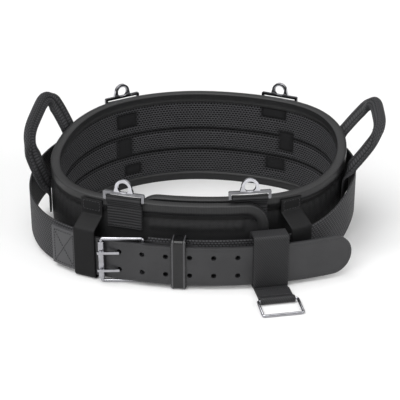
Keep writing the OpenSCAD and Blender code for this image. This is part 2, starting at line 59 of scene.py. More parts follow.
front_centre = np.array(joints["keeper_slide"]["pos_m"][:2])
front_r = 330 * mm
front_reach = 145 * mm
back_reach = 144 * mm
depth = front_reach + back_reach
middle = front_centre - [0, front_r - front_reach]
pad_t = 12 * mm
pad_front_h = 88 * mm
pad_back_h = 114 * mm
pad_rise_y = (-100 * mm, 110 * mm)
pad_draw = 2.5 * mm
left_wing_r = 311.6 * mm
right_wing_r = left_wing_r - pad_t - 3.55 * mm
tip_round = 24 * mm
tips = (-59.5 * mm / right_wing_r, -84 * mm / left_wing_r)
channels = (0.36, 0.6)
channel_depth = 3.0 * mm
channel_width = 2.6 * mm
lining_edge = 1.0 * mm
foam_back = 2.2 * mm
patch_edge = 1.9 * mm
air_pressure = 4.0
blow_frames = 20
swell_cap = 3.0 * mm
held_rows = 4
back_headings = {"left": math.radians(143.0), "right": math.radians(159.5)}
# Sewn patches: side, strap, and in mm the place along from the strap, the height and both half sizes.
patches = [(-1, "left", 2, 88, 14, 8), (-1, "left", 7, 53, 11, 12), (-1, "left", -5, 23, 11, 6),
           (1, "right", 0, 97, 16, 7), (1, "right", -19, 63, 10, 12), (1, "right", -4, 31, 13, 7)]
up = np.array([0.0, 0.0, 1.0])


def ease(t):
    """Smooth step from 0 to 1."""
    t = np.clip(t, 0, 1)
    return t * t * (3 - 2 * t)


def grid_of(*values):
    """Values brought to one grid and stacked as its last axis."""
    return np.stack(np.broadcast_arrays(*values), -1)


def waist_line(front, side, back, front_y, back_y):
    """Half of a line round the waist: front, side and back arc that meet without a corner.
    Gives the arcs' centres and radii, and the two headings at which one arc hands over to the next."""
    b, c, d = front - side, side - back, front + back - front_y - back_y
    turn_1 = math.acos((b * b + d * d - c * c) / (2 * b * d))
    turn_2 = math.atan2(-b * math.sin(turn_1) / c, (d - b * math.cos(turn_1)) / c)
    side_centre = [b * math.sin(turn_1), front - front_y - b * math.cos(turn_1)]
    centres = np.array([[0, front - front_y], side_centre, [0, back_y - back]])
    return centres, np.array([front, side, back]), np.array([turn_1, turn_2])


def on_line(line, side, heading, out=0.0):
    """Points of a line at the given headings, moved out by a distance; side is 1 right and -1 left."""
    centres, radii, turns = line
    heading = np.asarray(heading, float)
    arc = np.searchsorted(turns, heading, side="right")
    reach = radii[arc] + out
    x = side * (centres[arc, 0] + reach * np.sin(heading))
    return np.stack([x, centres[arc, 1] - reach * np.cos(heading)], -1) + middle


def walk_round(right, left, start, end, steps):
    """Sides and headings along the right line from its start heading, round the back, to the end
    heading of the left line, with the length walked at each. steps gives the walks of a total length."""
    fine = np.linspace(0, 1, 3000)
    ways = []
    for line, first in ((right, start), (left, end)):
        heading = first + (math.pi - first) * fine
        radius = line[1][np.searchsorted(line[2], heading, side="right")]
        ways.append((heading, np.concatenate([[0], np.cumsum(radius[1:] * np.diff(heading))])))
    half, total = ways[0][1][-1], ways[0][1][-1] + ways[1][1][-1]
    walked = steps(total)
    on_right = walked <= half
    heading = np.where(on_right, np.interp(walked, ways[0][1], ways[0][0]),
                       np.interp(total - walked, ways[1][1], ways[1][0]))
    return np.where(on_right, 1, -1), heading, walked


def on_round(right, left, side, heading, out=0.0):
    """Points on the right line where side is 1 and on the left line where it is -1."""
    return np.where((side > 0)[..., None], on_line(right, 1, heading, out), on_line(left, -1, heading, out))


def placed(name, data):
    """New object of the scene that shows the data."""
    thing = bpy.data.objects.new(name, data)
    bpy.context.scene.collection.objects.link(thing)
    return thing


def mesh_piece(name, points, faces, corner_uv=None):
    """Smooth mesh object of points and faces, with the map of its cloth where the corners have one."""
    mesh = bpy.data.meshes.new(name)
    mesh.from_pydata(points.reshape(-1, 3).tolist(), [], faces)
    if corner_uv is not None:
        mesh.uv_layers.new(name="cloth").data.foreach_set("uv", corner_uv.astype(np.float32).ravel())
    mesh.polygons.foreach_set("use_smooth", np.ones(len(faces), bool))
    return placed(name, mesh)


def surface(name, points, uv, ring=False, capped=False):
    """Mesh object of a grid of points, rows along the first axis. A ring joins the last column to
    the first, and then uv has one column more; caps close the two ends of a ring."""
    rows, cols = points.shape[:2]
    spans = cols if ring else cols - 1
    i, j = np.meshgrid(np.arange(rows - 1), np.arange(spans), indexing="ij")
    k = (j + 1) % cols
    quads = np.stack([i * cols + j, i * cols + k, (i + 1) * cols + k, (i + 1) * cols + j], -1)
    faces = quads.reshape(-1, 4).tolist()
    loops = np.stack([uv[i, j], uv[i, j + 1], uv[i + 1, j + 1], uv[i + 1, j]], -2).reshape(-1, 2)
    if capped:
        faces += [list(range(cols - 1, -1, -1)), list(range((rows - 1) * cols, rows * cols))]
        loops = np.concatenate([loops, uv[0, :cols][::-1], uv[-1, :cols]])
    return mesh_piece(name, points, faces, loops)


def store(piece, key, values):
    """Stores one value for each point of a piece, for its finish to read."""
    column = piece.data.attributes.new(key, "FLOAT", "POINT")
    column.data.foreach_set("value", values.astype(np.float32).ravel())


def dressed(piece, body, finish, slot, *nodes):
    """Gives a piece its finish, its body and the nodes that it stands for."""
    piece.data.materials.append(finish)
    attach(piece, body)
    if nodes:
        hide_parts(*nodes)
    return piece


pad_right = waist_line(right_wing_r, 0.415 * depth, 0.848 * depth,
                       right_wing_r - front_r + front_reach, back_reach)
pad_left = waist_line(left_wing_r, 0.346 * depth, 0.571 * depth,
                      left_wing_r - front_r + front_reach, back_reach)


def pad_steps(total):
    """Steps along the pad: close together at the two rounded tips, even between them."""
    tip = tip_round * (1 - np.cos(np.linspace(0, math.pi / 2, 13)))
    between = np.linspace(tip_round, total - tip_round, 401)
    return np.concatenate([tip[:-1], between, (total - tip)[::-1][1:]])


def pad_top(y):
    """Height of the pad, which rises from its wings to the back."""
    share = (y - middle[1] - pad_rise_y[0]) / (pad_rise_y[1] - pad_rise_y[0])
    return pad_front_h + (pad_back_h - pad_front_h) * ease(share)


def draw_in(t):
    """How far the face of the pad is drawn in at the part t of its height."""
    return pad_draw * (2 * t - 1) ** 2


pad_side, pad_heading, pad_walk = walk_round(pad_right, pad_left, *tips, pad_steps)
pad_foot = on_round(pad_right, pad_left, pad_side, pad_heading)
from_tip = np.minimum(pad_walk, pad_walk[-1] - pad_walk)
tip_drop = tip_round - np.sqrt(tip_round ** 2 - np.clip(tip_round - from_tip, 0, None) ** 2)
pad_low = tip_drop
pad_high = pad_top(pad_foot[:, 1]) - tip_drop


def pad_grid(out, t, edge):
    """Points of the pad at depth out and height part t, both as (stations, parts), kept an edge inside."""
    low, high = pad_low[:, None] + edge, pad_high[:, None] - edge
    side, heading = (np.broadcast_to(a[:, None], t.shape) for a in (pad_side, pad_heading))
    flat = on_round(pad_right, pad_left, side, heading, out)
    return np.concatenate([flat, (low + (high - low) * t)[..., None]], -1)


def patch_masks(walk, z):
    """Over a grid of walk and height: 1 inside the sewn patches, and 1 along their stitched borders."""
    inside, border = np.zeros(z.shape), np.zeros(z.shape)
    for side, strap, along, height, half_w, half_h in patches:
        nearest = np.argmin(np.abs(np.where(pad_side == side, pad_heading, 9) - back_headings[strap]))
        off = np.maximum(np.abs(walk - pad_walk[nearest] - along * mm) - half_w * mm,
                         np.abs(z - height * mm) - half_h * mm)
        inside = np.maximum(inside, 1 - ease(off / mm + 0.5))
        border = np.maximum(border, np.exp(-(off / patch_edge) ** 2))
    return inside, border


face_t = np.linspace(0, 1, 73)
back_t = np.linspace(1, 0, 13)
lining_t = np.broadcast_to(np.concatenate([face_t, back_t]), (len(pad_side), len(face_t) + len(back_t)))
lining_z = pad_grid(np.zeros(lining_t.shape), lining_t, lining_edge)[..., 2]
on_face = np.broadcast_to(np.arange(lining_t.shape[1]) < len(face_t), lining_t.shape)
patch_inside, patch_border = patch_masks(pad_walk[:, None], lining_z)
channel_line = np.zeros(lining_t.shape)
for channel in channels:
    from_channel = (lining_t - channel) * (pad_high - pad_low)[:, None]
    channel_line = np.maximum(channel_line, np.exp(-(from_channel / channel_width) ** 2))
channel_line *= 1 - patch_inside
pressed = np.where(on_face, np.maximum(channel_line, 0.7 * patch_border), 0)
patch_inside = np.where(on_face, patch_inside, 0)
lining_out = np.where(on_face, draw_in(lining_t) - pad_t, -draw_in(lining_t) - foam_back)
lining_v = np.concatenate([face_t, back_t + 1.2, [2.3]]) * pad_back_h
lining_uv = grid_of(pad_walk[:, None], lining_v)


def swell(points, held, pressure, frames, cap):
    """How far the points of a closed ring of cloth move when it is blown up, held where held is 1.
    The cloth is simulated on every second row and column; no point moves further than the cap."""
    columns = np.concatenate([np.arange(0, len(face_t), 2), np.arange(len(face_t), points.shape[1], 2)])
    coarse = points[::2, columns]
    flat_uv = np.zeros((coarse.shape[0], coarse.shape[1] + 1, 2))
    balloon = surface("balloon", coarse, flat_uv, ring=True, capped=True)
    weights = np.round(held[::2, columns], 1).ravel()
    group = balloon.vertex_groups.new(name="held")
    for weight in np.unique(weights):
        group.add(np.flatnonzero(weights == weight).tolist(), float(weight), "REPLACE")
    cloth = balloon.modifiers.new("swell", "CLOTH")
    cloth.settings.quality = 6
    cloth.settings.mass = 0.2
    cloth.settings.tension_stiffness = 12
    cloth.settings.compression_stiffness = 12
    cloth.settings.bending_stiffness = 0.4
    cloth.settings.use_pressure = True
    cloth.settings.uniform_pressure_force = pressure
    cloth.settings.vertex_group_mass = "held"
    cloth.settings.effector_weights.gravity = 0
    cloth.point_cache.frame_end = frames
    scene = bpy.context.scene
    for number in range(1, frames + 1):
        scene.frame_set(number)
    moved = np.empty(coarse.size, np.float32)
    blown = balloon.evaluated_get(bpy.context.evaluated_depsgraph_get())
    blown.data.vertices.foreach_get("co", moved)
    scene.frame_set(1)
    bpy.data.meshes.remove(balloon.data)
    step = moved.reshape(coarse.shape) - coarse
    step *= np.minimum(1, cap / np.maximum(np.linalg.norm(step, axis=-1, keepdims=True), 1e-9))
    rows = np.arange(points.shape[0]) / 2
    step = (step[np.floor(rows).astype(int)] + step[np.ceil(rows).astype(int)]) / 2
    face, back = np.arange(len(face_t)) / 2, np.arange(len(back_t)) / 2 + (len(face_t) + 1) // 2
    place = np.concatenate([face, back])
    return (step[:, np.floor(place).astype(int)] + step[:, np.ceil(place).astype(int)]) / 2


behind_wing = (pad_side < 0) & (pad_heading < math.radians(30))
held = np.where(on_face & (lining_t > 0.06) & (lining_t < 0.94), np.clip(1.4 * pressed, 0, 1), 1.0)
held[behind_wing] = 1
held[:held_rows] = 1
held[-held_rows:] = 1
lining_points = pad_grid(lining_out, lining_t, lining_edge)
swollen = swell(lining_points, held, air_pressure, blow_frames, swell_cap)
sunk = pad_grid(lining_out + channel_depth * pressed, lining_t, lining_edge) - lining_points
lining = surface("pad_lining", lining_points + swollen + sunk, lining_uv, ring=True, capped=True)
# The sewn value also darkens the lining's colour in its grooves: painted shade.
store(lining, "sewn", pressed)
store(lining, "patch", patch_inside)


class Term:
    """Value that a finish works out at each point of a piece. Sums and products of terms are math nodes."""

    def __init__(self, tree, socket):
        self.tree = tree
        self.socket = socket

    def by(self, operation, *others):
        """Math node over this term and the others, which may be plain numbers."""
        node = self.tree.nodes.new("ShaderNodeMath")
        node.operation = operation
        for socket, value in zip(node.inputs, (self,) + others):
            if isinstance(value, Term):
                self.tree.links.new(value.socket, socket)
            else:
                socket.default_value = value
        return Term(self.tree, node.outputs[0])

    def __add__(self, other):
        return self.by("ADD", other)

    def __sub__(self, other):
        return self.by("SUBTRACT", other)

    def __rsub__(self, number):
        return self * -1.0 + number

    def __mul__(self, other):
        return self.by("MULTIPLY", other)

    def __truediv__(self, other):
        return self.by("DIVIDE", other)

    def __pow__(self, other):
        return self.by("POWER", other)

    def __abs__(self):
        return self.by("ABSOLUTE")

    def to(self, shader, key):
        """Leads the term to an input of a shader."""
        self.tree.links.new(self.socket, shader.inputs[key])


def new_finish(name, roughness, specular):
    """Empty finish: the material, its node tree and its shader."""
    finish = bpy.data.materials.new(name)
    finish.use_nodes = True
    shader = finish.node_tree.nodes["Principled BSDF"]
    shader.inputs["Roughness"].default_value = roughness
    shader.inputs["Specular IOR Level"].default_value = specular
    return finish, finish.node_tree, shader


def cloth_axes(tree):
    """Length and width over the cloth in metres, from the piece's own map."""
    uv = tree.nodes.new("ShaderNodeUVMap")
    uv.uv_map = "cloth"
    split = tree.nodes.new("ShaderNodeSeparateXYZ")
    tree.links.new(uv.outputs["UV"], split.inputs[0])
    return Term(tree, split.outputs["X"]), Term(tree, split.outputs["Y"])


def staggered(tree, pitch_u, pitch_v):
    """Place within the cell of a brick pattern, from -0.5 to 0.5 both ways."""
    u, v = cloth_axes(tree)
    row = v / pitch_v
    column = u / pitch_u + (row.by("FLOOR") * 0.5).by("FRACT")
    return [place.by("FRACT") - 0.5 for place in (column, row)]


def blotches(tree, scale, detail=3.0):
    """Slow change of tone over the piece, from 0 to 1."""
    coords = tree.nodes.new("ShaderNodeTexCoord")
    noise = tree.nodes.new("ShaderNodeTexNoise")
    noise.inputs["Scale"].default_value = scale
    noise.inputs["Detail"].default_value = detail
    tree.links.new(coords.outputs["Object"], noise.inputs["Vector"])
    return Term(tree, noise.outputs["Fac"])


def uneven(value, scale, spread):
    """A term made a little uneven over the piece, by up to half its spread either way."""
    return value * (blotches(value.tree, scale) * spread + (1 - spread / 2))


def colour_between(factor, dark, light):
    """Colour between two greys with a cool tint."""
    ramp = factor.tree.nodes.new("ShaderNodeValToRGB")
    for element, grey in zip(ramp.color_ramp.elements, (dark, light)):
        element.color = (grey, grey, 1.06 * grey, 1)
    factor.tree.links.new(factor.socket, ramp.inputs["Fac"])
    return Term(factor.tree, ramp.outputs["Color"])


def raised(shader, height, distance, strength=1.0):
    """Bump of a given depth in metres."""
    bump = height.tree.nodes.new("ShaderNodeBump")
    bump.inputs["Distance"].default_value = distance
    bump.inputs["Strength"].default_value = strength
    height.to(bump, "Height")
    height.tree.links.new(bump.outputs["Normal"], shader.inputs["Normal"])


def over_vertices(tree, key):
    """Value stored on the points of the piece."""
    node = tree.nodes.new("ShaderNodeAttribute")
    node.attribute_name = key
    return Term(tree, node.outputs["Fac"])


def spacer_mesh():
    """Knitted spacer mesh: lighter threads round staggered holes, plain cloth on the patches, and
    painted shade that darkens it along the sewn grooves."""
    finish, tree, shader = new_finish("spacer_mesh", 0.7, 0.12)
    across, along = staggered(tree, 4.0 * mm, 2.8 * mm)
    knit = (across ** 2.0 * 5.0 + along ** 2.0 * 6.0).by("MINIMUM", 1.0) ** 1.4
    plain = over_vertices(tree, "patch")
    thread = knit * (1.0 - plain) + plain * 0.22
    # Painted shade: the colour is darkened along the sewn grooves.
    tone = uneven(thread, 30, 0.4) * (1.0 - over_vertices(tree, "sewn") * 0.75)
    colour_between(tone, 0.001, 0.068).to(shader, "Base Color")
    (0.85 - thread * 0.25).to(shader, "Roughness")
    raised(shader, thread, 1.0 * mm)
    return finish


dressed(lining, "belt", spacer_mesh(), "spacer_mesh", "pad_liner", "pad_foam")

# Pad cover
# The outside of the pad is a woven nylon shell. A seam runs along it a little below the top edge,
# and the cloth puckers under that seam. The left wing swells out along the seam between two ends.

cover_t = np.broadcast_to(np.linspace(0, 1, 56), (len(pad_side), 56))
cover_thick = 1.6 * mm
seam_down = 15 * mm
seam_depth = 1.5 * mm
seam_width = 1.8 * mm
pucker_depth = 2.2 * mm
pucker_pitch = 9 * mm
pucker_fade = 9 * mm
panel_ends = (-62 * mm, 50 * mm)
panel_bulge = 2.8 * mm
panel_fade = 8 * mm
panel_down = 7.5 * mm
panel_half = 5.5 * mm
cover_z = pad_grid(np.zeros(cover_t.shape), cover_t, lining_edge)[..., 2]
under_seam = pad_high[:, None] - seam_down - cover_z
seam_line = np.exp(-(under_seam / seam_width) ** 2)
wave = 0.5 - 0.5 * np.sin(2 * math.pi * pad_walk / pucker_pitch + 1.9 * np.sin(pad_walk / (23 * mm)))
fading = np.exp(-np.clip(under_seam, 0, None) / pucker_fade) * ease(under_seam / (3 * mm) + 0.3)
wing_walk = pad_heading * left_wing_r
panel = ease((wing_walk - panel_ends[0]) / panel_fade) * ease((panel_ends[1] - wing_walk) / panel_fade)
panel = (pad_side < 0) * panel
bulge = panel_bulge * panel[:, None] * np.exp(-((under_seam - panel_down) / panel_half) ** 2)
cover_out = -draw_in(cover_t) - seam_depth * seam_line - pucker_depth * wave[:, None] * fading + bulge
cover_uv = grid_of(pad_walk[:, None], cover_t * pad_back_h)
cover = surface("pad_cover", pad_grid(cover_out, cover_t, lining_edge)[:, ::-1], cover_uv[:, ::-1])
# The sewn value also darkens the cover's colour in its seam groove: painted shade.
store(cover, "sewn", seam_line[:, ::-1])


def thickened(piece, thickness, offset=-1):
    """Gives an open sheet its thickness, inward from its face unless the offset says otherwise."""
    wall = piece.modifiers.new("wall", "SOLIDIFY")
    wall.thickness = thickness
    wall.offset = offset
    return piece


def woven(name, pitch_u, pitch_v, dark, light, depth, roughness, specular=0.12, shaded_seams=False):
    """Cloth of staggered yarns: each cell of the weave is a small pillow, darker between yarns."""
    finish, tree, shader = new_finish(name, roughness, specular)
    hills = [1.0 - place ** 2.0 * 4.0 for place in staggered(tree, pitch_u, pitch_v)]
    yarn = (hills[0] * hills[1]) ** 0.6
    tone = uneven(yarn, 24, 0.5)
    # Painted shade: darker colour along the sewn seam groove.
    if shaded_seams:
        tone = tone * (1.0 - over_vertices(tree, "sewn") * 0.7)
    colour_between(tone, dark, light).to(shader, "Base Color")
    (roughness + 0.12 - yarn * 0.2).to(shader, "Roughness")
    raised(shader, yarn, depth)
    return finish


thickened(cover, cover_thick)
cover_cloth = woven("cover_nylon", 2.4 * mm, 1.6 * mm, 0.002, 0.020, 0.4 * mm, 0.42, 0.2, shaded_seams=True)
dressed(cover, "belt", cover_cloth, "pad_cover", "pad_shell")

# Binding tape
# A satin tape with fine ribs is folded over every edge of the pad and sewn through. It runs along
# the top edge and the bottom edge and meets halfway up the two tips.

binding_leg = 10 * mm
binding_t = 0.9 * mm
binding_half = 5.3 * mm
binding_crown = 2.0 * mm
tip_steps = 5


def binding_fold(points=24):
    """Closed U of the folded tape in the cut across the edge: distance to the side, and height over
    the edge."""
    turn = np.linspace(0, math.pi, points)
    crown = np.stack([binding_half * np.cos(turn), binding_crown * np.sin(turn) ** 0.8], -1)
    leg = np.array([[binding_half, -binding_leg], [binding_half + 0.2 * mm, -0.5 * binding_leg]])
    outer = np.concatenate([leg, crown, leg[::-1] * [-1, 1]])
    inner = outer * [1 - binding_t / binding_half, 1]
    inner[:, 1] -= binding_t * ease(1 + outer[:, 1] / (0.5 * binding_leg))
    return np.concatenate([outer, inner[::-1]])


def unit(vectors):
    """Vectors brought to length 1."""
    return vectors / np.linalg.norm(vectors, axis=-1, keepdims=True)


def walk_along(points):
    """Length walked from the first point of a line to each of its points."""
    return np.concatenate([[0], np.cumsum(np.linalg.norm(np.diff(points, axis=0), axis=1))])


def edge_path(edge, sign):
    """Edge of the pad with the halves of its two tips: points in the middle of the pad's thickness,
    the direction out of its face, and the direction out of its edge."""
    mid = (pad_high[[0, -1]] + pad_low[[0, -1]]) / 2
    share = np.linspace(0, 1, tip_steps + 1)[:-1, None]
    points = np.concatenate([pad_foot, edge[:, None]], 1)
    ends = [np.append(pad_foot[k], m) for k, m in zip((0, -1), mid)]
    path = np.concatenate([ends[0] + (points[0] - ends[0]) * share, points,
                           (ends[1] + (points[-1] - ends[1]) * share)[::-1]])
    flow = unit(np.gradient(path, axis=0))
    lead = np.concatenate([np.full(tip_steps, 0), np.arange(len(pad_side)), np.full(tip_steps, -1)])
    out = on_round(pad_right, pad_left, pad_side, pad_heading, 1.0) - pad_foot
    face_dir = np.pad(out[lead], ((0, 0), (0, 1)))
    edge_dir = np.cross(flow, face_dir)
    edge_dir *= sign * np.sign(edge_dir[len(path) // 2, 2])
    return path - face_dir * pad_t / 2, face_dir, edge_dir


def ribbed(name, pitch, dark, light, depth, roughness, specular=0.15):
    """Tape with ribs across its length, each of them twisted yarn."""
    finish, tree, shader = new_finish(name, roughness, specular)
    u, v = cloth_axes(tree)
    rib = abs((u * (math.pi / pitch)).by("SINE"))
    slant = v * (2 * math.pi / (0.6 * pitch)) + u * (2 * math.pi / pitch)
    yarn = rib * 0.85 + slant.by("SINE") * 0.1
    colour_between(uneven(yarn, 24, 0.5), dark, light).to(shader, "Base Color")
    (roughness + 0.1 - yarn * 0.15).to(shader, "Roughness")
    raised(shader, yarn, depth)
    return finish


binding_cloth = ribbed("binding_tape", 1.7 * mm, 0.003, 0.019, 0.16 * mm, 0.36, 0.4)
fold = binding_fold()
around = np.arange(len(fold) + 1) * mm
for node, edge, sign in (("pad_binding_top", pad_high, 1), ("pad_binding_bottom", pad_low, -1)):
    path, face_dir, edge_dir = edge_path(edge, sign)
    points = path[:, None] + fold[:, :1] * face_dir[:, None] + (fold[:, 1:] - mm) * edge_dir[:, None]
    uv = grid_of(walk_along(path)[:, None], around)
    tape = surface(node.replace("pad_", "edge_"), points[:, ::sign], uv, ring=True, capped=True)
    dressed(tape, "belt", binding_cloth, "binding_tape", node)

# Webbing belt
# A heavy ribbed webbing, 2 in wide, runs round the outside of the pad from the buckle to the
# leather strap and rises towards the back.

web_w = 50.8 * mm
web_t = 2.4 * mm
web_z = 2.5 * mm
web_rise = 30 * mm
web_rise_right = (17 * mm, 152 * mm)
web_rise_left = (35 * mm, 295 * mm)
web_points = 340
web_r = 319.4 * mm
web_back = back_reach + 1.1 * mm + web_t
sewn_gap = 4.0 * mm
bar_r = 321.6 * mm
bar_heading = -50 * mm / front_r
web_start = bar_heading + 4.4 * mm / bar_r
belt_right = waist_line(web_r, 0.467 * depth, 0.917 * depth, web_r - front_r + front_reach, web_back)
belt_left = waist_line(front_r, 0.45 * depth, 0.796 * depth, front_reach, web_back + sewn_gap)


def tape_cut(width, thick, flats=10, rounds=4):
    """Closed cut across a tape with round edges: place across, height over the middle, and length around."""
    half, edge = width / 2 - thick / 2, thick / 2
    turn = np.linspace(-math.pi / 2, math.pi / 2, rounds + 2)[1:-1]
    flat = np.linspace(-half, half, flats)
    across = np.concatenate([flat, half + edge * np.cos(turn), flat[::-1], -half - edge * np.cos(turn)])
    level, bend = np.full(flats, edge), edge * np.sin(turn)
    height = np.concatenate([-level, bend, level, -bend])
    cut = np.stack([across, height], -1)
    return across, height, walk_along(np.concatenate([cut, cut[:1]]))


def tape_along(name, path, across_dir, normal, cut, bow=0.0, closed=False):
    """Tape whose cut is carried along a path: across_dir and normal are the cut's two directions.
    A bow bends it about the path, as a tape lying on a round pad: height falls by bow * across^2."""
    across, height, length = cut
    lift = height - bow * across ** 2
    points = path[:, None] + across[:, None] * across_dir[:, None] + lift[:, None] * normal[:, None]
    uv = grid_of(walk_along(path)[:, None], length)
    return surface(name, points, uv, ring=True, capped=not closed)


web_side, web_heading = walk_round(belt_right, belt_left, web_start, belt_left[2][0],
                                   lambda total: np.linspace(0, total, web_points))[:2]
web_in = np.where(web_side > 0, 0, -sewn_gap)
web_out = on_round(belt_right, belt_left, web_side, web_heading, 1.0)
web_out -= on_round(belt_right, belt_left, web_side, web_heading)
web_foot = on_round(belt_right, belt_left, web_side, web_heading) + (web_in - web_t / 2)[:, None] * web_out
from_front = web_foot[:, 1] - middle[1] + front_reach
rises = [ease((from_front - low) / (high - low)) for low, high in (web_rise_right, web_rise_left)]
web_lift = web_rise * np.where(web_side > 0, *rises)
web_path = np.concatenate([web_foot, (web_z + web_w / 2 + web_lift)[:, None]], 1)
webbing = tape_along("webbing_belt_cloth", web_path, np.broadcast_to(up, web_path.shape),
                     np.pad(web_out, ((0, 0), (0, 1))), tape_cut(web_w, web_t))
web_cloth = woven("ribbed_webbing", 3.6 * mm, 2.8 * mm, 0.0015, 0.075, 0.8 * mm, 0.5)
dressed(webbing, "belt", web_cloth, "webbing", "webbing_belt")

# Belt loops, ring tapes and back straps
# Flat tapes are sewn to the pad: loops that hold the belt at the front, tapes that carry the two
# front rings, and back straps that let the webbing through and carry the two back rings.

tape_w = 38 * mm
loop_w = 25.4 * mm
loop_t = 1.6 * mm
tape_t = 1.8 * mm
ply_t = 1.3 * mm
layer_gap = 0.4 * mm
floor_gap = 0.4 * mm
eye_r = 1.9 * mm
eye_out = layer_gap + eye_r + tape_t
bind_h = 8 * mm
sew_in = 3 * mm


def at_walks(walks, walked, values):
    """Values along a line at the given walks, from their walks so far."""
    return np.stack([np.interp(walks, walked, column) for column in values.T], -1)


def rounded(corners, radius, step=1.2 * mm):
    """Broken line with its corners rounded to the radius where there is room, in even steps."""
    corners = np.asarray(corners, float)
    ways = np.diff(corners, axis=0)
    lengths = np.linalg.norm(ways, axis=1)
    share = np.linspace(0, 1, 9)[:, None]
    line = [corners[:1]]
    for k in range(1, len(corners) - 1):
        before, after = -ways[k - 1] / lengths[k - 1], ways[k] / lengths[k]
        half = math.acos(np.clip(before @ after, -1, 1)) / 2
        cut = min(radius / math.tan(half), 0.48 * lengths[k - 1], 0.48 * lengths[k])
        start, end = corners[k] + before * cut, corners[k] + after * cut
        line.append((1 - share) ** 2 * start + 2 * share * (1 - share) * corners[k] + share ** 2 * end)
    line = np.concatenate(line + [corners[-1:]])
    walked = walk_along(line)
    return at_walks(np.linspace(0, walked[-1], max(8, int(walked[-1] / step))), walked, line)


def upright(origin, side, heading):
    """Frame of a tape that stands on a line: its foot, the direction out and the direction along."""
    out = np.array([side * math.sin(heading), -math.cos(heading), 0])
    along = np.array([math.cos(heading), side * math.sin(heading), 0])
    return np.append(origin, 0), out, along


def upright_tape(name, stand, profile, width, thick, bow=0.0):
    """Tape in an upright frame: the profile gives distance out and height."""
    foot, out, along = stand
    flow = unit(np.gradient(profile, axis=0))
    path = foot + profile[:, :1] * out + profile[:, 1:] * up
    normal = flow[:, 1:] * out - flow[:, :1] * up
    return tape_along(name, path, np.broadcast_to(-along, path.shape), normal, tape_cut(width, thick), bow)


def stand_off(line, side, heading, arc, grow, width):
    """How far out a flat tape at a heading of a line has to stand to clear an arc grown by a distance."""
    foot, out, along = upright(on_line(line, side, heading), side, heading)
    centre = arc[0] * [side, 1] + middle
    places = foot[:2] + np.array([[-0.5], [0], [0.5]]) * width * along[:2] - centre
    toward = places @ out[:2]
    return (np.sqrt(toward ** 2 - (places ** 2).sum(1) + (arc[1] + grow) ** 2) - toward).max()


def arc_at(line, heading):
    """Centre and radius of the arc of a line at a heading."""
    k = np.searchsorted(line[2], heading, side="right")
    return line[0][k], line[1][k]


def heading_at(line, walk):
    """Heading at a walk from the front middle that reaches past the front arc."""
    return line[2][0] + (walk - line[2][0] * line[1][0]) / line[1][1]


def seat(z, y):
    """How far the face of the pad is drawn in at a height."""
    return draw_in(z / pad_top(y))


def thread_finish():
    """Dull polyester thread."""
    finish, tree, shader = new_finish("sewing_thread", 0.5, 0.3)
    colour_between(blotches(tree, 700), 0.022, 0.060).to(shader, "Base Color")
    raised(shader, blotches(tree, 4000), 0.05 * mm)
    return finish


thread = thread_finish()
stitch_share = 0.72
stitch_rings = 5
stitch_sides = 6


def sew(name, body, rows, pitch=3.4 * mm, radius=0.38 * mm):
    """Rows of stitches: each row is a line of points on a cloth and the directions out of the cloth there.
    A stitch is a small capsule that dips into the cloth at both ends."""
    starts, ends, outs = [], [], []
    for points, normals in rows:
        points, normals = np.asarray(points, float), np.broadcast_to(normals, np.shape(points))
        walked = walk_along(points)
        first = np.arange(0, walked[-1] - 0.7 * pitch, pitch)
        starts.append(at_walks(first, walked, points))
        ends.append(at_walks(first + stitch_share * pitch, walked, points))
        outs.append(at_walks(first + stitch_share / 2 * pitch, walked, normals))
    starts, ends, outs = (np.concatenate(bag) for bag in (starts, ends, outs))
    side_dir = np.cross(unit(ends - starts), outs)
    part = np.linspace(0, 1, stitch_rings)
    swell_share = np.sqrt(np.clip(1 - 0.97 * (2 * part - 1) ** 4, 0, None))
    turn = np.linspace(0, 2 * math.pi, stitch_sides, endpoint=False)
    middle_line = starts[:, None] + (ends - starts)[:, None] * part[:, None]
    middle_line = middle_line + outs[:, None] * (radius * (1.4 * np.sin(math.pi * part) - 0.5))[:, None]
    rings = np.cos(turn)[:, None] * side_dir[:, None, None] + np.sin(turn)[:, None] * outs[:, None, None]
    points = middle_line[:, :, None] + radius * swell_share[:, None, None] * rings
    i, j = np.meshgrid(np.arange(stitch_rings - 1), np.arange(stitch_sides), indexing="ij")
    k = (j + 1) % stitch_sides
    low, high = i * stitch_sides, (i + 1) * stitch_sides
    one = np.stack([low + j, high + j, high + k, low + k], -1).reshape(-1, 4)
    bases = stitch_rings * stitch_sides * np.arange(len(starts))
    faces = (one + bases[:, None, None]).reshape(-1, 4).tolist()
    for base in bases:
        last = base + stitch_rings * stitch_sides
        faces += [list(range(base, base + stitch_sides)), list(range(last - 1, last - stitch_sides - 1, -1))]
    return dressed(mesh_piece(name, points, faces), body, thread, "webbing")


def box_rows(stand, out, low, high, half, bow=0.0):
    """Box of stitches on an upright tape between two heights."""
    foot, out_dir, along = stand
    share = np.linspace(0, 1, 24)[:, None]
    corners = np.array([(-half, low), (half, low), (half, high), (-half, high), (-half, low)])
    rows = []
    for a, b in zip(corners[:-1], corners[1:]):
        across, z = (a + (b - a) * share).T
        fall = out - bow * across ** 2
        rows.append((foot + across[:, None] * along + fall[:, None] * out_dir + z[:, None] * up, out_dir))
    return rows


def sewn_tape(name, stand, profile, width, thick, finish, box, bow=0.0):
    """Tape in an upright frame that stands for the node of its name. A box of stitches holds it: its
    distance out, lower end and upper end."""
    tape = upright_tape(name + "_cloth", stand, profile, width, thick, bow)
    dressed(tape, "belt", finish, "webbing", name)
    sew(name + "_stitches", "belt", box_rows(stand, *box, width / 2 - sew_in, bow))


satin = ribbed("satin_tape", 1.1 * mm, 0.003, 0.011, 0.10 * mm, 0.42, 0.15)
web_top = web_z + web_w
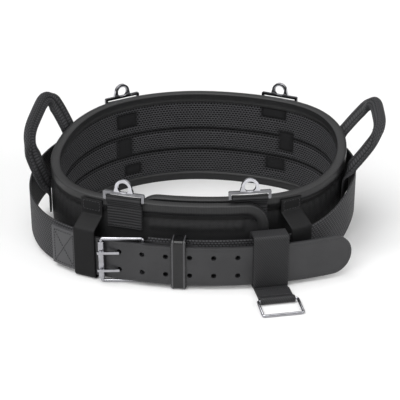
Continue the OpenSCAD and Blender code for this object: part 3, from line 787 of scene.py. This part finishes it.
# Belt loops: side, lines of belt and pad, walk from the front middle, where the loop leaves the pad
# below its top, and where it meets the webbing above its edge.
loops = {"left": (-1, belt_left, pad_left, 114 * mm, 21 * mm, 4 * mm),
         "right": (1, belt_right, pad_right, 122 * mm, 17 * mm, 7 * mm)}
for name, (side, line, pad_line, walk, leave_down, over_web) in loops.items():
    heading = heading_at(line, walk)
    leave_z, over_z = pad_front_h - leave_down, web_top + over_web
    foot = on_line(line, side, heading)
    stand = upright(foot, side, heading)
    pad_out = stand_off(line, side, heading, arc_at(pad_line, heading), 0, loop_w)
    pad_out += layer_gap + tape_t / 2 - seat(leave_z, foot[1])
    loop_out = 0.7 * mm + tape_t / 2
    low, top = floor_gap + tape_t / 2, pad_front_h - 3 * mm
    corners = [[pad_out, top], [pad_out, leave_z], [loop_out, over_z], [loop_out, low], [pad_out, low]]
    profile = rounded(corners, 3.5 * mm)
    box = (pad_out + loop_t / 2, max(leave_z + mm, top - 12 * mm), top - 2 * mm)
    sewn_tape("belt_loop_" + name, stand, profile, loop_w, loop_t, satin, box)


def eye_profile(foot, ring_z, tail_z, thick):
    """Tape that comes up from its foot, turns over the bar of a ring and goes down outside itself."""
    r = eye_r + thick / 2 + 0.1 * mm
    turn = np.radians(np.linspace(200, -30, 24))
    bar = np.stack([eye_out + r * np.cos(turn), ring_z + r * np.sin(turn)], -1)
    tail_out = foot[-1][0] + thick + 0.25 * mm
    tail = [[tail_out, ring_z - 3.2 * r], [tail_out, tail_z]]
    return rounded(np.concatenate([foot, bar, tail]), 3 * mm, 0.9 * mm)


grosgrain = ribbed("grosgrain_tape", 3.2 * mm, 0.0015, 0.040, 0.6 * mm, 0.48)
front_ring_z = joints["ring_front_left_swing"]["pos_m"][2]
# Ring tapes: side, line of the pad, heading and lower end.
ring_tapes = {"front_left": (-1, pad_left, math.radians(12.6), web_top + 4 * mm),
              "front_right": (1, pad_right, math.radians(12.0), pad_front_h - 34 * mm)}
for name, (side, line, heading, low) in ring_tapes.items():
    stand = upright(on_line(line, side, heading), side, heading)
    inner = layer_gap + ply_t / 2
    bow = 0.5 / line[1][0]
    profile = eye_profile([[inner, low], [inner, front_ring_z - 8 * mm]], front_ring_z, low + 1.5 * mm, ply_t)
    box = (inner + 1.5 * ply_t + 0.3 * mm, low + 4 * mm, front_ring_z - 12 * mm)
    sewn_tape("ring_tape_" + name, stand, profile, tape_w, ply_t, grosgrain, box, bow)

back_ring_z = joints["ring_back_left_swing"]["pos_m"][2]
# Back straps: side, line of the pad, and the arc of the webbing that each one clears.
back_straps = {"left": (-1, pad_left, (belt_left[0][2], belt_left[1][2]), -sewn_gap),
               "right": (1, pad_right, (belt_right[0][2], belt_right[1][2]), 0)}
for name, (side, line, arc, grow) in back_straps.items():
    heading = back_headings[name]
    foot = on_line(line, side, heading)
    stand = upright(foot, side, heading)
    high = pad_top(foot[1])
    low_out = layer_gap + ply_t / 2 - seat(bind_h + 10 * mm, foot[1])
    high_out = layer_gap + ply_t / 2 + binding_t - seat(high - bind_h, foot[1])
    web_clear = stand_off(line, side, heading, arc, grow, tape_w) + 0.8 * mm + tape_t / 2
    corners = [[low_out, bind_h + mm], [low_out, bind_h + 10 * mm], [web_clear, web_z + web_rise - 5.5 * mm],
               [web_clear, web_top + web_rise + 3 * mm], [high_out, back_ring_z - 9 * mm],
               [high_out, back_ring_z - 5 * mm]]
    profile = eye_profile(rounded(corners, 5 * mm), back_ring_z, back_ring_z - 12 * mm, ply_t)
    box = (low_out + 0.5 * ply_t, bind_h + 2.5 * mm, bind_h + 8 * mm)
    sewn_tape("back_strap_" + name, stand, profile, tape_w, ply_t, grosgrain, box)

# Handles
# A carrying handle of webbing on each side, folded double and sewn along the grip. Its ends lie
# open and flat and are sewn to the outside of the pad.

handle_w = 27 * mm
handle_t = 2.4 * mm
grip_w = 16 * mm
grip_t = 8.4 * mm
flap_drop = 28 * mm
flap_points = 16
handle_rise = 51 * mm
arch_part = slice(6, -6)
smooth_half = 6
fold_from = 0.13
fold_over = 0.13
# Handles: side, line of the pad, headings of the two sewn ends, height of the front end, reach outward
# and rise of the arch.
handles = {"left": (-1, pad_left, (113.5, 80.0), 64 * mm, 24 * mm, handle_rise),
           "right": (1, pad_right, (113.0, 76.0), 84 * mm, 36 * mm, handle_rise - 4 * mm)}


def handle_path(name):
    """Middle line of a handle from flap to flap, the directions across it, and the part of the arch
    at each point. The arch runs from end to end on a squared oval that leans outward."""
    side, line, degrees, front_z, bulge, rise = handles[name]
    joint = joints["handle_" + name + "_swing"]
    rear, axis = np.array(joint["pos_m"]), np.array(joint["axis"])
    chord = axis * (front_z - rear[2]) / axis[2]
    out = np.array([chord[1], -chord[0], 0]) * -side
    lift = out / np.linalg.norm(out) * bulge + up * rise
    t = (1 - np.cos(np.linspace(0, math.pi, 241))) / 2
    along = np.cos(math.pi * t)
    along = (1 - np.sign(along) * np.sqrt(np.abs(along))) / 2
    arch = rear + chord * along[:, None] + lift * np.sqrt(np.clip(np.sin(math.pi * t), 0, None))[:, None]
    flat = unit(np.cross(np.gradient(arch, axis=0), np.cross(chord, lift)))
    flaps, flap_dirs = [], []
    for degree, end, k in zip(degrees, (rear, rear + chord), (8, -8)):
        heading = math.radians(degree)
        drop = np.linspace(flap_drop, 5 * mm, flap_points)
        foot = on_line(line, side, np.full(flap_points, heading), 1.7 * mm)
        flaps.append(np.concatenate([foot, (end[2] - drop)[:, None]], 1))
        across = np.array([math.cos(heading), side * math.sin(heading), 0])
        flap_dirs.append(np.tile(across * np.sign(across @ flat[k]), (flap_points, 1)))
    path = np.concatenate([flaps[0], arch[arch_part], flaps[1][::-1]])
    dirs = np.concatenate([flap_dirs[0], flat[arch_part], flap_dirs[1]])
    part = np.concatenate([np.zeros(flap_points), t[arch_part], np.ones(flap_points)])
    walked = walk_along(path)
    table = np.concatenate([path, dirs, part[:, None]], 1)
    table = at_walks(np.linspace(0, walked[-1], 190), walked, table)
    kernel = np.hanning(2 * smooth_half + 1)
    kernel /= kernel.sum()
    smooth = [np.convolve(np.pad(table[:, k], smooth_half, "edge"), kernel, "valid") for k in range(6)]
    return np.stack(smooth[:3], -1), np.stack(smooth[3:], -1), table[:, 6], rear + chord / 2, lift


def folded_cut(fold, points=32):
    """Cut across a handle: a flat tape where fold is 0 and a thick folded grip where it is 1, with the
    crease of the fold along one face, as (stations, points)."""
    turn = np.linspace(0, 2 * math.pi, points, endpoint=False)
    power = (0.35 + 0.35 * fold)[:, None]
    half_w = (handle_w + (grip_w - handle_w) * fold)[:, None] / 2
    half_t = (handle_t + (grip_t - handle_t) * fold)[:, None] / 2
    across = half_w * np.sign(np.cos(turn)) * np.abs(np.cos(turn)) ** power
    height = half_t * np.sign(np.sin(turn)) * np.abs(np.sin(turn)) ** power
    crease = 1.6 * mm * fold[:, None] * np.exp(-(across / (1.3 * mm)) ** 2) * (np.sin(turn) > 0.1)
    return across, height - crease


for name in handles:
    path, dirs, part, arch_foot, lift = handle_path(name)
    flow = unit(np.gradient(path, axis=0))
    dirs = unit(dirs - (dirs * flow).sum(1, keepdims=True) * flow)
    normal = np.cross(flow, dirs)
    fold_share = ease((np.minimum(part, 1 - part) - fold_from) / fold_over)
    across, height = folded_cut(fold_share)
    points = path[:, None] + across[..., None] * dirs[:, None] + height[..., None] * normal[:, None]
    uv = grid_of(walk_along(path)[:, None], np.linspace(0, 2 * handle_w, points.shape[1] + 1))
    handle = surface("handle_" + name + "_webbing", points, uv, ring=True, capped=True)
    handle.data.materials.append(web_cloth)
    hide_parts("handle_" + name, "handle_tab_" + name + "_rear", "handle_tab_" + name + "_front")
    "handle_" + name
    arch_foot + 0.08 * lift
    arch_foot + 0.42 * lift
    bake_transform(handle)
    gripped = (part > 0.29) & (part < 0.71)
    grip, grip_dirs, grip_normal = path[gripped], dirs[gripped], normal[gripped]
    rows = [(grip + k * 4.5 * mm * grip_dirs + side * 0.47 * grip_t * grip_normal, side * grip_normal)
            for k in (-1, 1) for side in (-1, 1)]
    sew("handle_" + name + "_stitches", "handle_" + name, rows)

# Leather strap
# The tip strap is a thick black leather, sewn to the left end of the webbing with a crossed box.
# It has six pairs of punched holes, a stitched edge and a round tip.

strap_w = 44.5 * mm
strap_t = 3.8 * mm
strap_mid = 27.25 * mm
hole_r = 2.8 * mm
hole_gap = 21 * mm
hole_pitch = 25.4 * mm
first_hole = -74.5 * mm
hole_pairs = 6
strap_tip = 181 * mm
strap_end = -160.5 * mm
side_walk = belt_left[2][0] * front_r


def strap_point(walk, across, out=0.0):
    """Point of the leather face: a walk along it to the right of the front middle, and a height over
    its middle."""
    walk, across = np.broadcast_arrays(np.asarray(walk, float), across)
    heading = walk / front_r
    front = front_centre + (front_r + out) * np.stack([np.sin(heading), -np.cos(heading)], -1)
    side = on_line(belt_left, -1, heading_at(belt_left, np.maximum(-walk, side_walk)), out)
    flat = np.where((walk > -side_walk)[..., None], front, side)
    return np.concatenate([flat, (strap_mid + across)[..., None]], -1)


def strap_grids():
    """Grids of (walk, across) that make up the strap: plain ends, and a ring of cells round each hole."""
    halves = np.linspace(0, strap_w / 2, 13)
    rows = np.concatenate([-halves[:0:-1], halves])
    start, stop = first_hole - hole_pitch / 2, first_hole + (hole_pairs - 0.5) * hole_pitch
    yield np.stack(np.meshgrid(np.linspace(strap_end, start, 36), rows, indexing="ij"), -1)
    tip_start = strap_tip - strap_w / 2
    straight = np.linspace(stop, tip_start, 46)
    turn = np.linspace(0, math.radians(86), 24)[1:]
    walk = np.concatenate([straight, tip_start + strap_w / 2 * np.sin(turn)])
    width = np.concatenate([np.ones(len(straight)), np.cos(turn)])
    yield grid_of(walk[:, None], width[:, None] * rows)
    edge = np.linspace(-0.5, 0.5, 13)[:-1]
    ends = np.full(len(edge), 0.5)
    sides = ((edge, -ends), (ends, edge), (-edge, ends), (-ends, -edge), (edge[:1], -ends[:1]))
    square = np.concatenate([np.stack(pair, -1) for pair in sides])
    reach = np.array([0, 0.12, 0.3, 0.6, 1.0])[:, None, None]
    for pair in range(hole_pairs):
        for half in (-1, 1):
            hole = np.array([first_hole + pair * hole_pitch, half * hole_gap / 2])
            cell = square * [hole_pitch, strap_w / 2] + [hole[0], half * strap_w / 4]
            spoke = cell - hole
            rim = hole + hole_r * spoke / np.linalg.norm(spoke, axis=1, keepdims=True)
            yield rim + (cell - rim) * reach


def joined(piece, gap, outward=False):
    """Joins the points of a piece that lie closer than the gap, and turns its faces one way if asked."""
    shell = bmesh.new()
    shell.from_mesh(piece.data)
    bmesh.ops.remove_doubles(shell, verts=shell.verts, dist=gap)
    if outward:
        bmesh.ops.recalc_face_normals(shell, faces=shell.faces)
    shell.to_mesh(piece.data)
    shell.free()
    return piece


def strap_sheet(name):
    """Mesh object of all the strap's grids, joined along their shared edges and facing out."""
    points, faces, corners, first = [], [], [], 0
    for grid in strap_grids():
        rows, cols = grid.shape[:2]
        i, j = np.meshgrid(np.arange(rows - 1), np.arange(cols - 1), indexing="ij")
        low, high = i * cols + j, (i + 1) * cols + j
        quads = np.stack([low, high, high + 1, low + 1], -1).reshape(-1, 4)
        points.append(strap_point(grid[..., 0], grid[..., 1]).reshape(-1, 3))
        faces.append(quads + first)
        corners.append(grid.reshape(-1, 2)[quads])
        first += rows * cols
    points, faces, corners = (np.concatenate(bag) for bag in (points, faces, corners))
    piece = joined(mesh_piece(name, points, faces.tolist(), corners), 0.02 * mm, outward=True)
    if sum(face.normal.y for face in piece.data.polygons) > 0:
        piece.data.flip_normals()
    return piece


def bevelled(piece, width, segments=3):
    """Rounds the sharp edges of a piece."""
    bevel = piece.modifiers.new("edge", "BEVEL")
    bevel.width = width
    bevel.segments = segments
    bevel.limit_method = "ANGLE"
    bevel.angle_limit = math.radians(35)
    return piece


def leather(name, dark, light, roughness, specular, coat=0.0, pale_to=None, painted_highlights=()):
    """Black leather: a pebbled grain of small cells over slow blotches, with roughness that varies in
    blotches.
    Up to the walk pale_to its finish is paler. Painted highlights, pale lines at the given widths, stand in
    for shine, and the rest is darkened to set them off."""
    finish, tree, shader = new_finish(name, roughness, specular)
    shader.inputs["Coat Weight"].default_value = coat
    shader.inputs["Coat Roughness"].default_value = 0.12
    coords = tree.nodes.new("ShaderNodeTexCoord")
    grain = tree.nodes.new("ShaderNodeTexVoronoi")
    grain.feature = "DISTANCE_TO_EDGE"
    grain.inputs["Scale"].default_value = 900
    tree.links.new(coords.outputs["Object"], grain.inputs["Vector"])
    pebble = (Term(tree, grain.outputs["Distance"]) * 3.0).by("MINIMUM", 1.0)
    tone = blotches(tree, 40, 6.0) * 0.8 + pebble * 0.15
    walk, width = cloth_axes(tree)
    if pale_to is not None:
        tone = tone + walk.by("LESS_THAN", pale_to) * 1.1
    # Painted highlight: where lines are asked for, the base is darkened and pale lines are added.
    tone = tone * (0.15 if painted_highlights else 0.5)
    for place in painted_highlights:
        line = 1.0 - abs(width - place) / (1.1 * mm)
        tone = tone + line.by("MAXIMUM", 0.0) * 0.8
    colour_between(tone, dark, light).to(shader, "Base Color")
    (blotches(tree, 90) * 0.16 + (roughness - 0.08)).to(shader, "Roughness")
    raised(shader, pebble, 0.05 * mm, 0.6)
    return finish


strap = bevelled(thickened(strap_sheet("leather_strap"), strap_t), 1.1 * mm)
black_leather = leather("black_leather", 0.018, 0.070, 0.38, 0.4, pale_to=strap_end + 40 * mm)
dressed(strap, "belt", black_leather, "leather", "tip_strap")


def strap_row(walks, acrosses):
    """Row of stitches on the face of the strap through the given places."""
    walks, acrosses = np.broadcast_arrays(np.asarray(walks, float), acrosses)
    points = strap_point(walks, acrosses)
    return points, (strap_point(walks, acrosses, 1.0) - points)


edge_in = 3.2 * mm
row_half = strap_w / 2 - edge_in
tip_turn = np.linspace(math.pi / 2, -math.pi / 2, 50)
tip_middle = strap_tip - strap_w / 2
edge_walk = np.linspace(first_hole - 8 * mm, tip_middle, 120)
edge_rows = [strap_row(edge_walk, half * row_half) for half in (-1, 1)]
edge_rows.append(strap_row(tip_middle + row_half * np.cos(tip_turn), row_half * np.sin(tip_turn)))
sew("strap_edge_stitches", "belt", edge_rows, 3.0 * mm, 0.26 * mm)
box_left, box_right = strap_end + 4 * mm, strap_end + 31 * mm
across_box, along_box = np.linspace(-row_half, row_half, 30), np.linspace(box_left, box_right, 30)
box_stitches = [strap_row(along_box, half * row_half) for half in (-1, 1)]
box_stitches += [strap_row(walk, across_box) for walk in (box_left, box_right)]
box_stitches += [strap_row(along_box, slant * across_box) for slant in (-1, 1)]
sew("strap_box_stitches", "belt", box_stitches, 3.2 * mm, 0.5 * mm)

# Chape
# A double leather fold holds the hinge bar of the buckle and is sewn to the right end of the
# webbing. A slot for each prong is cut through the fold.

chape_end = 22 * mm / front_r
chape_ply = 1.9 * mm
ply_out = 1.05 * mm
fold_mid = 3.2 * mm
slot_half = 3.0 * mm
slot_rows = 13
spread_from = 16 * mm
spread_over = 12 * mm
chape_half = strap_w / 2 - 0.4 * mm


def chape_grid(width_points=25, ply_points=60, fold_points=15):
    """Both plies of the chape and the fold between them, as a grid of (along, across) points, and the
    part of the grid that its slots take out."""
    foot, out, along = upright(front_centre, 1, bar_heading)
    bar = foot + bar_r * out
    heading = np.linspace(chape_end, bar_heading + 4.2 * mm / bar_r, ply_points)
    spread = ease(((bar_heading - heading) * bar_r + spread_from) / spread_over)
    plies = []
    for sign in (1, -1):
        reach = bar_r + sign * (ply_out + spread * (fold_mid - ply_out))
        plies.append(front_centre + reach[:, None] * np.stack([np.sin(heading), -np.cos(heading)], -1))
    turn = np.linspace(math.pi / 2, 1.5 * math.pi, fold_points)
    fold = bar + fold_mid * (np.cos(turn)[:, None] * along + np.sin(turn)[:, None] * out)
    flat = np.concatenate([plies[0], fold[:, :2], plies[1][::-1]])
    across = np.linspace(-chape_half, chape_half, width_points)
    from_end = (chape_end - heading) * bar_r
    from_end = np.concatenate([from_end, np.full(fold_points, 1.0), from_end[::-1]])
    short = np.clip(chape_half - from_end, 0, None)
    width = np.sqrt(np.clip(chape_half ** 2 - short ** 2, (2 * mm) ** 2, None)) / chape_half
    grid = np.empty((len(flat), width_points, 3))
    grid[..., :2] = flat[:, None]
    grid[..., 2] = strap_mid + width[:, None] * across
    near_fold = np.abs(np.arange(len(flat)) - len(flat) / 2) < slot_rows
    in_slot = np.abs(np.abs(across) - hole_gap / 2) < slot_half
    return grid, near_fold[:, None] & in_slot


grid, cut_out = chape_grid()
walked = walk_along(grid[:, grid.shape[1] // 2])
chape_uv = grid_of(walked[:, None], np.linspace(0, strap_w, grid.shape[1]))
chape = surface("chape_leather", grid, chape_uv)
shell = bmesh.new()
shell.from_mesh(chape.data)
shell.faces.ensure_lookup_table()
open_faces = np.flatnonzero((cut_out[:-1, :-1] & cut_out[1:, 1:]).ravel())
bmesh.ops.delete(shell, geom=[shell.faces[k] for k in open_faces], context="FACES")
shell.to_mesh(chape.data)
shell.free()
bevelled(thickened(chape, chape_ply, 0), 0.4 * mm, 2)
chape_leather = leather("chape_leather", 0.014, 0.050, 0.40, 0.35)
dressed(chape, "belt", chape_leather, "leather", "buckle_chape")

# Keeper
# A short glossy leather band that slides along the strap and the webbing behind it. Two raised
# # lips run along its edges, with painted highlights, pale lines of colour, along them.

keeper_w = 16 * mm
keeper_t = 1.5 * mm
keeper_lip = 0.9 * mm
lip_width = 0.9 * mm
lip_place = 0.37 * keeper_w
keeper_heading = -10 * mm / front_r
keeper_in = web_r - web_t - 0.6 * mm
keeper_out = front_r + 0.8 * mm
keeper_low = web_z - 0.5 * mm
keeper_top = web_top + 2.6 * mm


def band_profile(inner, outer, low, top, thick, radius):
    """Closed loop of distance and height with round corners, through the middle of the band."""
    a, b = inner - thick / 2, outer + thick / 2
    c, d = low - thick / 2, top + thick / 2
    m = (a + b) / 2
    return rounded([[m, c], [b, c], [b, d], [a, d], [a, c], [m, c]], radius, 0.8 * mm)[:-1]


def band(name, heading, loop, cut, bow=0.0):
    """Closed band round the belt at a heading of the front curve, from its loop of distance and height."""
    foot, out, along = upright(front_centre, 1, heading)
    flow = unit(np.roll(loop, -1, 0) - np.roll(loop, 1, 0))
    path = foot + loop[:, :1] * out + loop[:, 1:] * up
    normal = flow[:, 1:] * out - flow[:, :1] * up
    path, normal = np.concatenate([path, path[:1]]), np.concatenate([normal, normal[:1]])
    piece = tape_along(name, path, np.broadcast_to(-along, path.shape), normal, cut, bow, closed=True)
    return joined(piece, 0.01 * mm)


keeper_loop = band_profile(keeper_in, keeper_out, keeper_low, keeper_top, keeper_t, 3 * mm)
across, height, length = tape_cut(keeper_w, keeper_t, 28)
lip = keeper_lip * np.exp(-((np.abs(across) - lip_place) / lip_width) ** 2) * (height > 0)
keeper = band("keeper_leather", keeper_heading, keeper_loop, (across, height + lip, length), 2.5)
# Places of the two lips around the cut, where the painted highlight lines go.
highlight_widths = [float(length[np.argmax(lip * (sign * across > 0))]) for sign in (-1, 1)]
glossy_leather = leather("glossy_leather", 0.001, 0.10, 0.22, 0.3, 0.3, painted_highlights=highlight_widths)
dressed(keeper, "keeper", glossy_leather, "leather", "keeper")

# Hanger
# A wide twill tape is looped over the strap and the webbing. Its tail lies on the ground in front
# and ends in an eye with a rectangular steel ring.

hang_heading = 87.5 * mm / front_r
hang_in = left_wing_r + 0.5 * mm + tape_t
hang_out = front_r + 0.8 * mm
hang_top = web_top + 6 * mm
tail_l = 33.2 * mm
tail_lap = 24 * mm
hang_eye_z = joints["hanger_ring_swing"]["pos_m"][2]


def twill(name):
    """Twill tape: fine slanting ribs."""
    finish, tree, shader = new_finish(name, 0.45, 0.2)
    u, v = cloth_axes(tree)
    rib = abs(((u / (3.2 * mm) + v / (2.4 * mm)) * math.pi).by("SINE"))
    colour_between(uneven(rib, 24, 0.5), 0.003, 0.040).to(shader, "Base Color")
    (0.55 - rib * 0.15).to(shader, "Roughness")
    raised(shader, rib, 0.4 * mm)
    return finish


twill_tape = twill("twill_tape")
hang_loop = band_profile(hang_in, hang_out, floor_gap + tape_t, hang_top, tape_t, 3 * mm)
hanger = band("hanger_loop", hang_heading, hang_loop, tape_cut(tape_w, tape_t))
dressed(hanger, "hanger", twill_tape, "webbing", "hanger_strap")
eye = eye_r + tape_t / 2
bar_turn = np.radians(np.linspace(270, 490, 26))
around_bar = np.stack([tail_l + eye * np.cos(bar_turn), hang_eye_z + eye * np.sin(bar_turn)], -1)
ground, lap = floor_gap + tape_t / 2, floor_gap + 1.6 * tape_t
tail = np.concatenate([[[-4 * mm, ground]], around_bar, [[tail_l - 9 * mm, lap], [tail_l - tail_lap, lap]]])
hang_foot, hang_dir = upright(front_centre, 1, hang_heading)[:2]
tail_stand = upright((hang_foot + hang_out * hang_dir)[:2], 1, hang_heading)
hanger_tail = upright_tape("hanger_tail", tail_stand, rounded(tail, 2 * mm, 0.9 * mm), tape_w - mm, tape_t)
dressed(hanger_tail, "hanger", twill_tape, "webbing")
hem_foot, hem_out, hem_along = tail_stand
hem_across = np.linspace(-0.44, 0.44, 20)[:, None] * tape_w * hem_along
hem_rows = [(hem_foot + hem_across + (tail_l - back) * hem_out + (lap + tape_t / 2) * up, up)
            for back in (tail_lap - 2.5 * mm, 10 * mm)]
sew("hanger_stitches", "hanger", hem_rows)

# Steel
# Buckle frame, roller, prongs and hanger ring are polished dark nickel. The four clip rings get a
# # blacker copy of that nickel as painted shade, and their tabs a paler copy as painted highlight.


def nickel(name, dark, light):
    """Polished nickel with faint cloudy wear."""
    finish, tree, shader = new_finish(name, 0.2, 0.5)
    shader.inputs["Metallic"].default_value = 1.0
    colour_between(blotches(tree, 120, 5.0), dark, light).to(shader, "Base Color")
    (blotches(tree, 300) * 0.14 + 0.06).to(shader, "Roughness")
    raised(shader, blotches(tree, 900), 0.02 * mm)
    return finish


steel = nickel("dark_nickel", 0.22, 0.56)
# The same nickel, blacker on the clip ring bars: painted shade.
shaded_ring_steel = nickel("shaded_ring_nickel", 0.09, 0.34)
clip_rings = ["ring_" + place + "_" + side for place in ("front", "back") for side in ("left", "right")]
steel_edges = {"buckle_frame": 0, "hanger_ring": 0, "buckle_roller": 0.5 * mm}
steel_edges.update(dict.fromkeys(["prong_upper", "prong_lower"] + clip_rings, 1.2 * mm))
for node, width in steel_edges.items():
    piece = frame["nodes"][node]
    piece.data.materials.clear()
    piece.data.materials.append(shaded_ring_steel if node in clip_rings else steel)
    weld = piece.modifiers.new("weld", "WELD")
    weld.merge_threshold = 0.01 * mm
    if width:
        bevelled(piece, width)

# Clip tabs
# The eye of each ring stands in a pressed steel tab that widens down to the bar of the ring, with a
# round hole for a snap hook.

tab_hole_r = 6.15 * mm
tab_r = 9.3 * mm
tab_t = 3.5 * mm
tab_foot = 10.8 * mm
bar_top = 8.3 * mm
eye_z = 13.3 * mm


def clip_tab(name):
    """Plate of a ring between its round hole and an outline of a half round over a trapezoid, with
    both faces and both rims as one closed grid, in the plane of the ring's joint axis and its eye."""
    joint = joints[name + "_swing"]
    node = frame["nodes"][name]
    corners = np.empty(3 * len(node.data.vertices), np.float32)
    node.data.vertices.foreach_get("co", corners)
    pivot, axis = np.array(joint["pos_m"]), np.array(joint["axis"])
    rise = corners.reshape(-1, 3).mean(0) - pivot
    rise = unit(rise - (rise @ axis) * axis)
    face_dir = np.cross(axis, rise)
    turn = np.linspace(-math.pi / 2, 1.5 * math.pi, 96, endpoint=False)
    way = np.stack([np.cos(turn), np.sin(turn)], -1)
    slope = (tab_foot - tab_r) / (eye_z - bar_top)
    to_side = tab_r / np.maximum(np.abs(way[:, 0]) + slope * np.minimum(way[:, 1], 0), 1e-6)
    to_foot = (eye_z - bar_top) / np.maximum(-way[:, 1], 1e-6)
    reach = np.where(way[:, 1] > 0, tab_r, np.minimum(to_side, to_foot))
    ring_r = np.stack([np.full(len(turn), tab_hole_r), reach, reach, np.full(len(turn), tab_hole_r)], 1)
    half = np.array([1, 1, -1, -1]) * tab_t / 2
    flat = ring_r[..., None] * way[:, None] + [0, eye_z]
    points = pivot + flat[..., :1] * axis + flat[..., 1:] * rise + half[:, None] * face_dir
    points = np.concatenate([points, points[:1]])
    return surface(name + "_tab", points, np.zeros((len(points), 5, 2)), ring=True)


# The same nickel, paler on the clip tabs: painted highlight.
lit_tab_steel = nickel("lit_tab_nickel", 0.36, 0.76)
for name in clip_rings:
    tab = joined(clip_tab(name), 0.01 * mm, outward=True)
    dressed(bevelled(tab, 0.5 * mm), name, lit_tab_steel, "steel")

# Floor, light and camera
# A pale floor under soft studio light, seen from the angle of the photograph. Polished steel sees
# a room that darkens towards the horizon. To the camera alone the floor glows a little more further
# out, so that it stays white round the shadow.

floor_half = 12.0
near_floor = 0.3
corners = np.array([[[-1, -1, 0], [1, -1, 0]], [[-1, 1, 0], [1, 1, 0]]], float) * floor_half
floor = surface("floor", corners, corners[..., :2])
floor_finish, floor_tree, floor_shader = new_finish("pale_floor", 0.9, 0.1)
floor_shader.inputs["Base Color"].default_value = (0.9, 0.9, 0.9, 1)
floor_shader.inputs["Emission Color"].default_value = (1, 1, 1, 1)
floor_path = floor_tree.nodes.new("ShaderNodeLightPath")
floor_coords = floor_tree.nodes.new("ShaderNodeTexCoord")
floor_away = floor_tree.nodes.new("ShaderNodeVectorMath")
floor_away.operation = "LENGTH"
floor_tree.links.new(floor_coords.outputs["Object"], floor_away.inputs[0])
beyond = Term(floor_tree, floor_away.outputs["Value"]) - near_floor
floor_glow = beyond.by("MAXIMUM", 0.0).by("MINIMUM", 0.5) * 0.2 + 0.06
(floor_glow * Term(floor_tree, floor_path.outputs["Is Camera Ray"])).to(floor_shader, "Emission Strength")
floor.data.materials.append(floor_finish)


def studio_world():
    """White to the camera, a soft even light to cloth, and a room with a dark horizon to polished steel."""
    world = bpy.data.worlds.new("studio")
    world.use_nodes = True
    tree = world.node_tree
    path = tree.nodes.new("ShaderNodeLightPath")
    coords = tree.nodes.new("ShaderNodeTexCoord")
    split = tree.nodes.new("ShaderNodeSeparateXYZ")
    tree.links.new(coords.outputs["Generated"], split.inputs[0])
    room = Term(tree, split.outputs["Z"]).by("MAXIMUM", 0.0) ** 1.5 * 1.5 + 0.06
    to_steel, to_camera = (Term(tree, path.outputs[key]) for key in ("Is Glossy Ray", "Is Camera Ray"))
    seen = to_steel * room + (1.0 - to_steel) * 0.36
    background = tree.nodes["Background"]
    background.inputs["Color"].default_value = (1, 1, 1, 1)
    seen.by("MAXIMUM", to_camera).to(background, "Strength")
    return world


bpy.context.scene.world = studio_world()


def lamp(name, kind, energy, place, target, size, height=None):
    """Soft lamp that points from its place to the target."""
    data = bpy.data.lights.new(name, kind)
    data.energy = energy
    if kind == "SUN":
        data.angle = size
    else:
        data.shape = "RECTANGLE"
        data.size, data.size_y = size, height or size
    light = placed(name, data)
    light.location = place
    way = unit(np.subtract(target, place))
    light.rotation_euler = (math.acos(-way[2]), 0, math.atan2(way[1], way[0]) - math.pi / 2)


lamp("overhead", "SUN", 1.85, (-0.3, -0.2, 1.0), (0, 0, 0), math.radians(60))
lamp("front_soft_box", "AREA", 5, (-0.5, -1.3, 1.0), (0, -0.1, 0.05), 0.8)
lamp("side_soft_box", "AREA", 4, (1.3, -0.3, 0.8), (0, 0, 0.05), 0.6)
lamp("left_strip", "AREA", 2.5, (-1.1, -0.9, 0.5), (0, -0.1, 0.05), 0.12, 1.0)
lamp("right_strip", "AREA", 2.5, (0.9, -1.1, 0.5), (0, -0.1, 0.05), 0.12, 1.0)

azimuth = math.radians(4.5)
elevation = math.radians(25.8)
distance = 1582.7 * mm
target = np.append(middle + [-4.4 * mm, 73.0 * mm], 0)
level = math.cos(elevation)
toward_camera = np.array([math.sin(azimuth) * level, -math.cos(azimuth) * level, math.sin(elevation)])
camera_data = bpy.data.cameras.new("camera")
camera_data.sensor_width = 36
camera_data.lens = 117.9
camera = placed("camera", camera_data)
camera.location = target + toward_camera * distance
camera.rotation_euler = (math.pi / 2 - elevation, 0, azimuth)
bpy.context.scene.camera = camera
bpy.context.scene.view_settings.view_transform = "Standard"
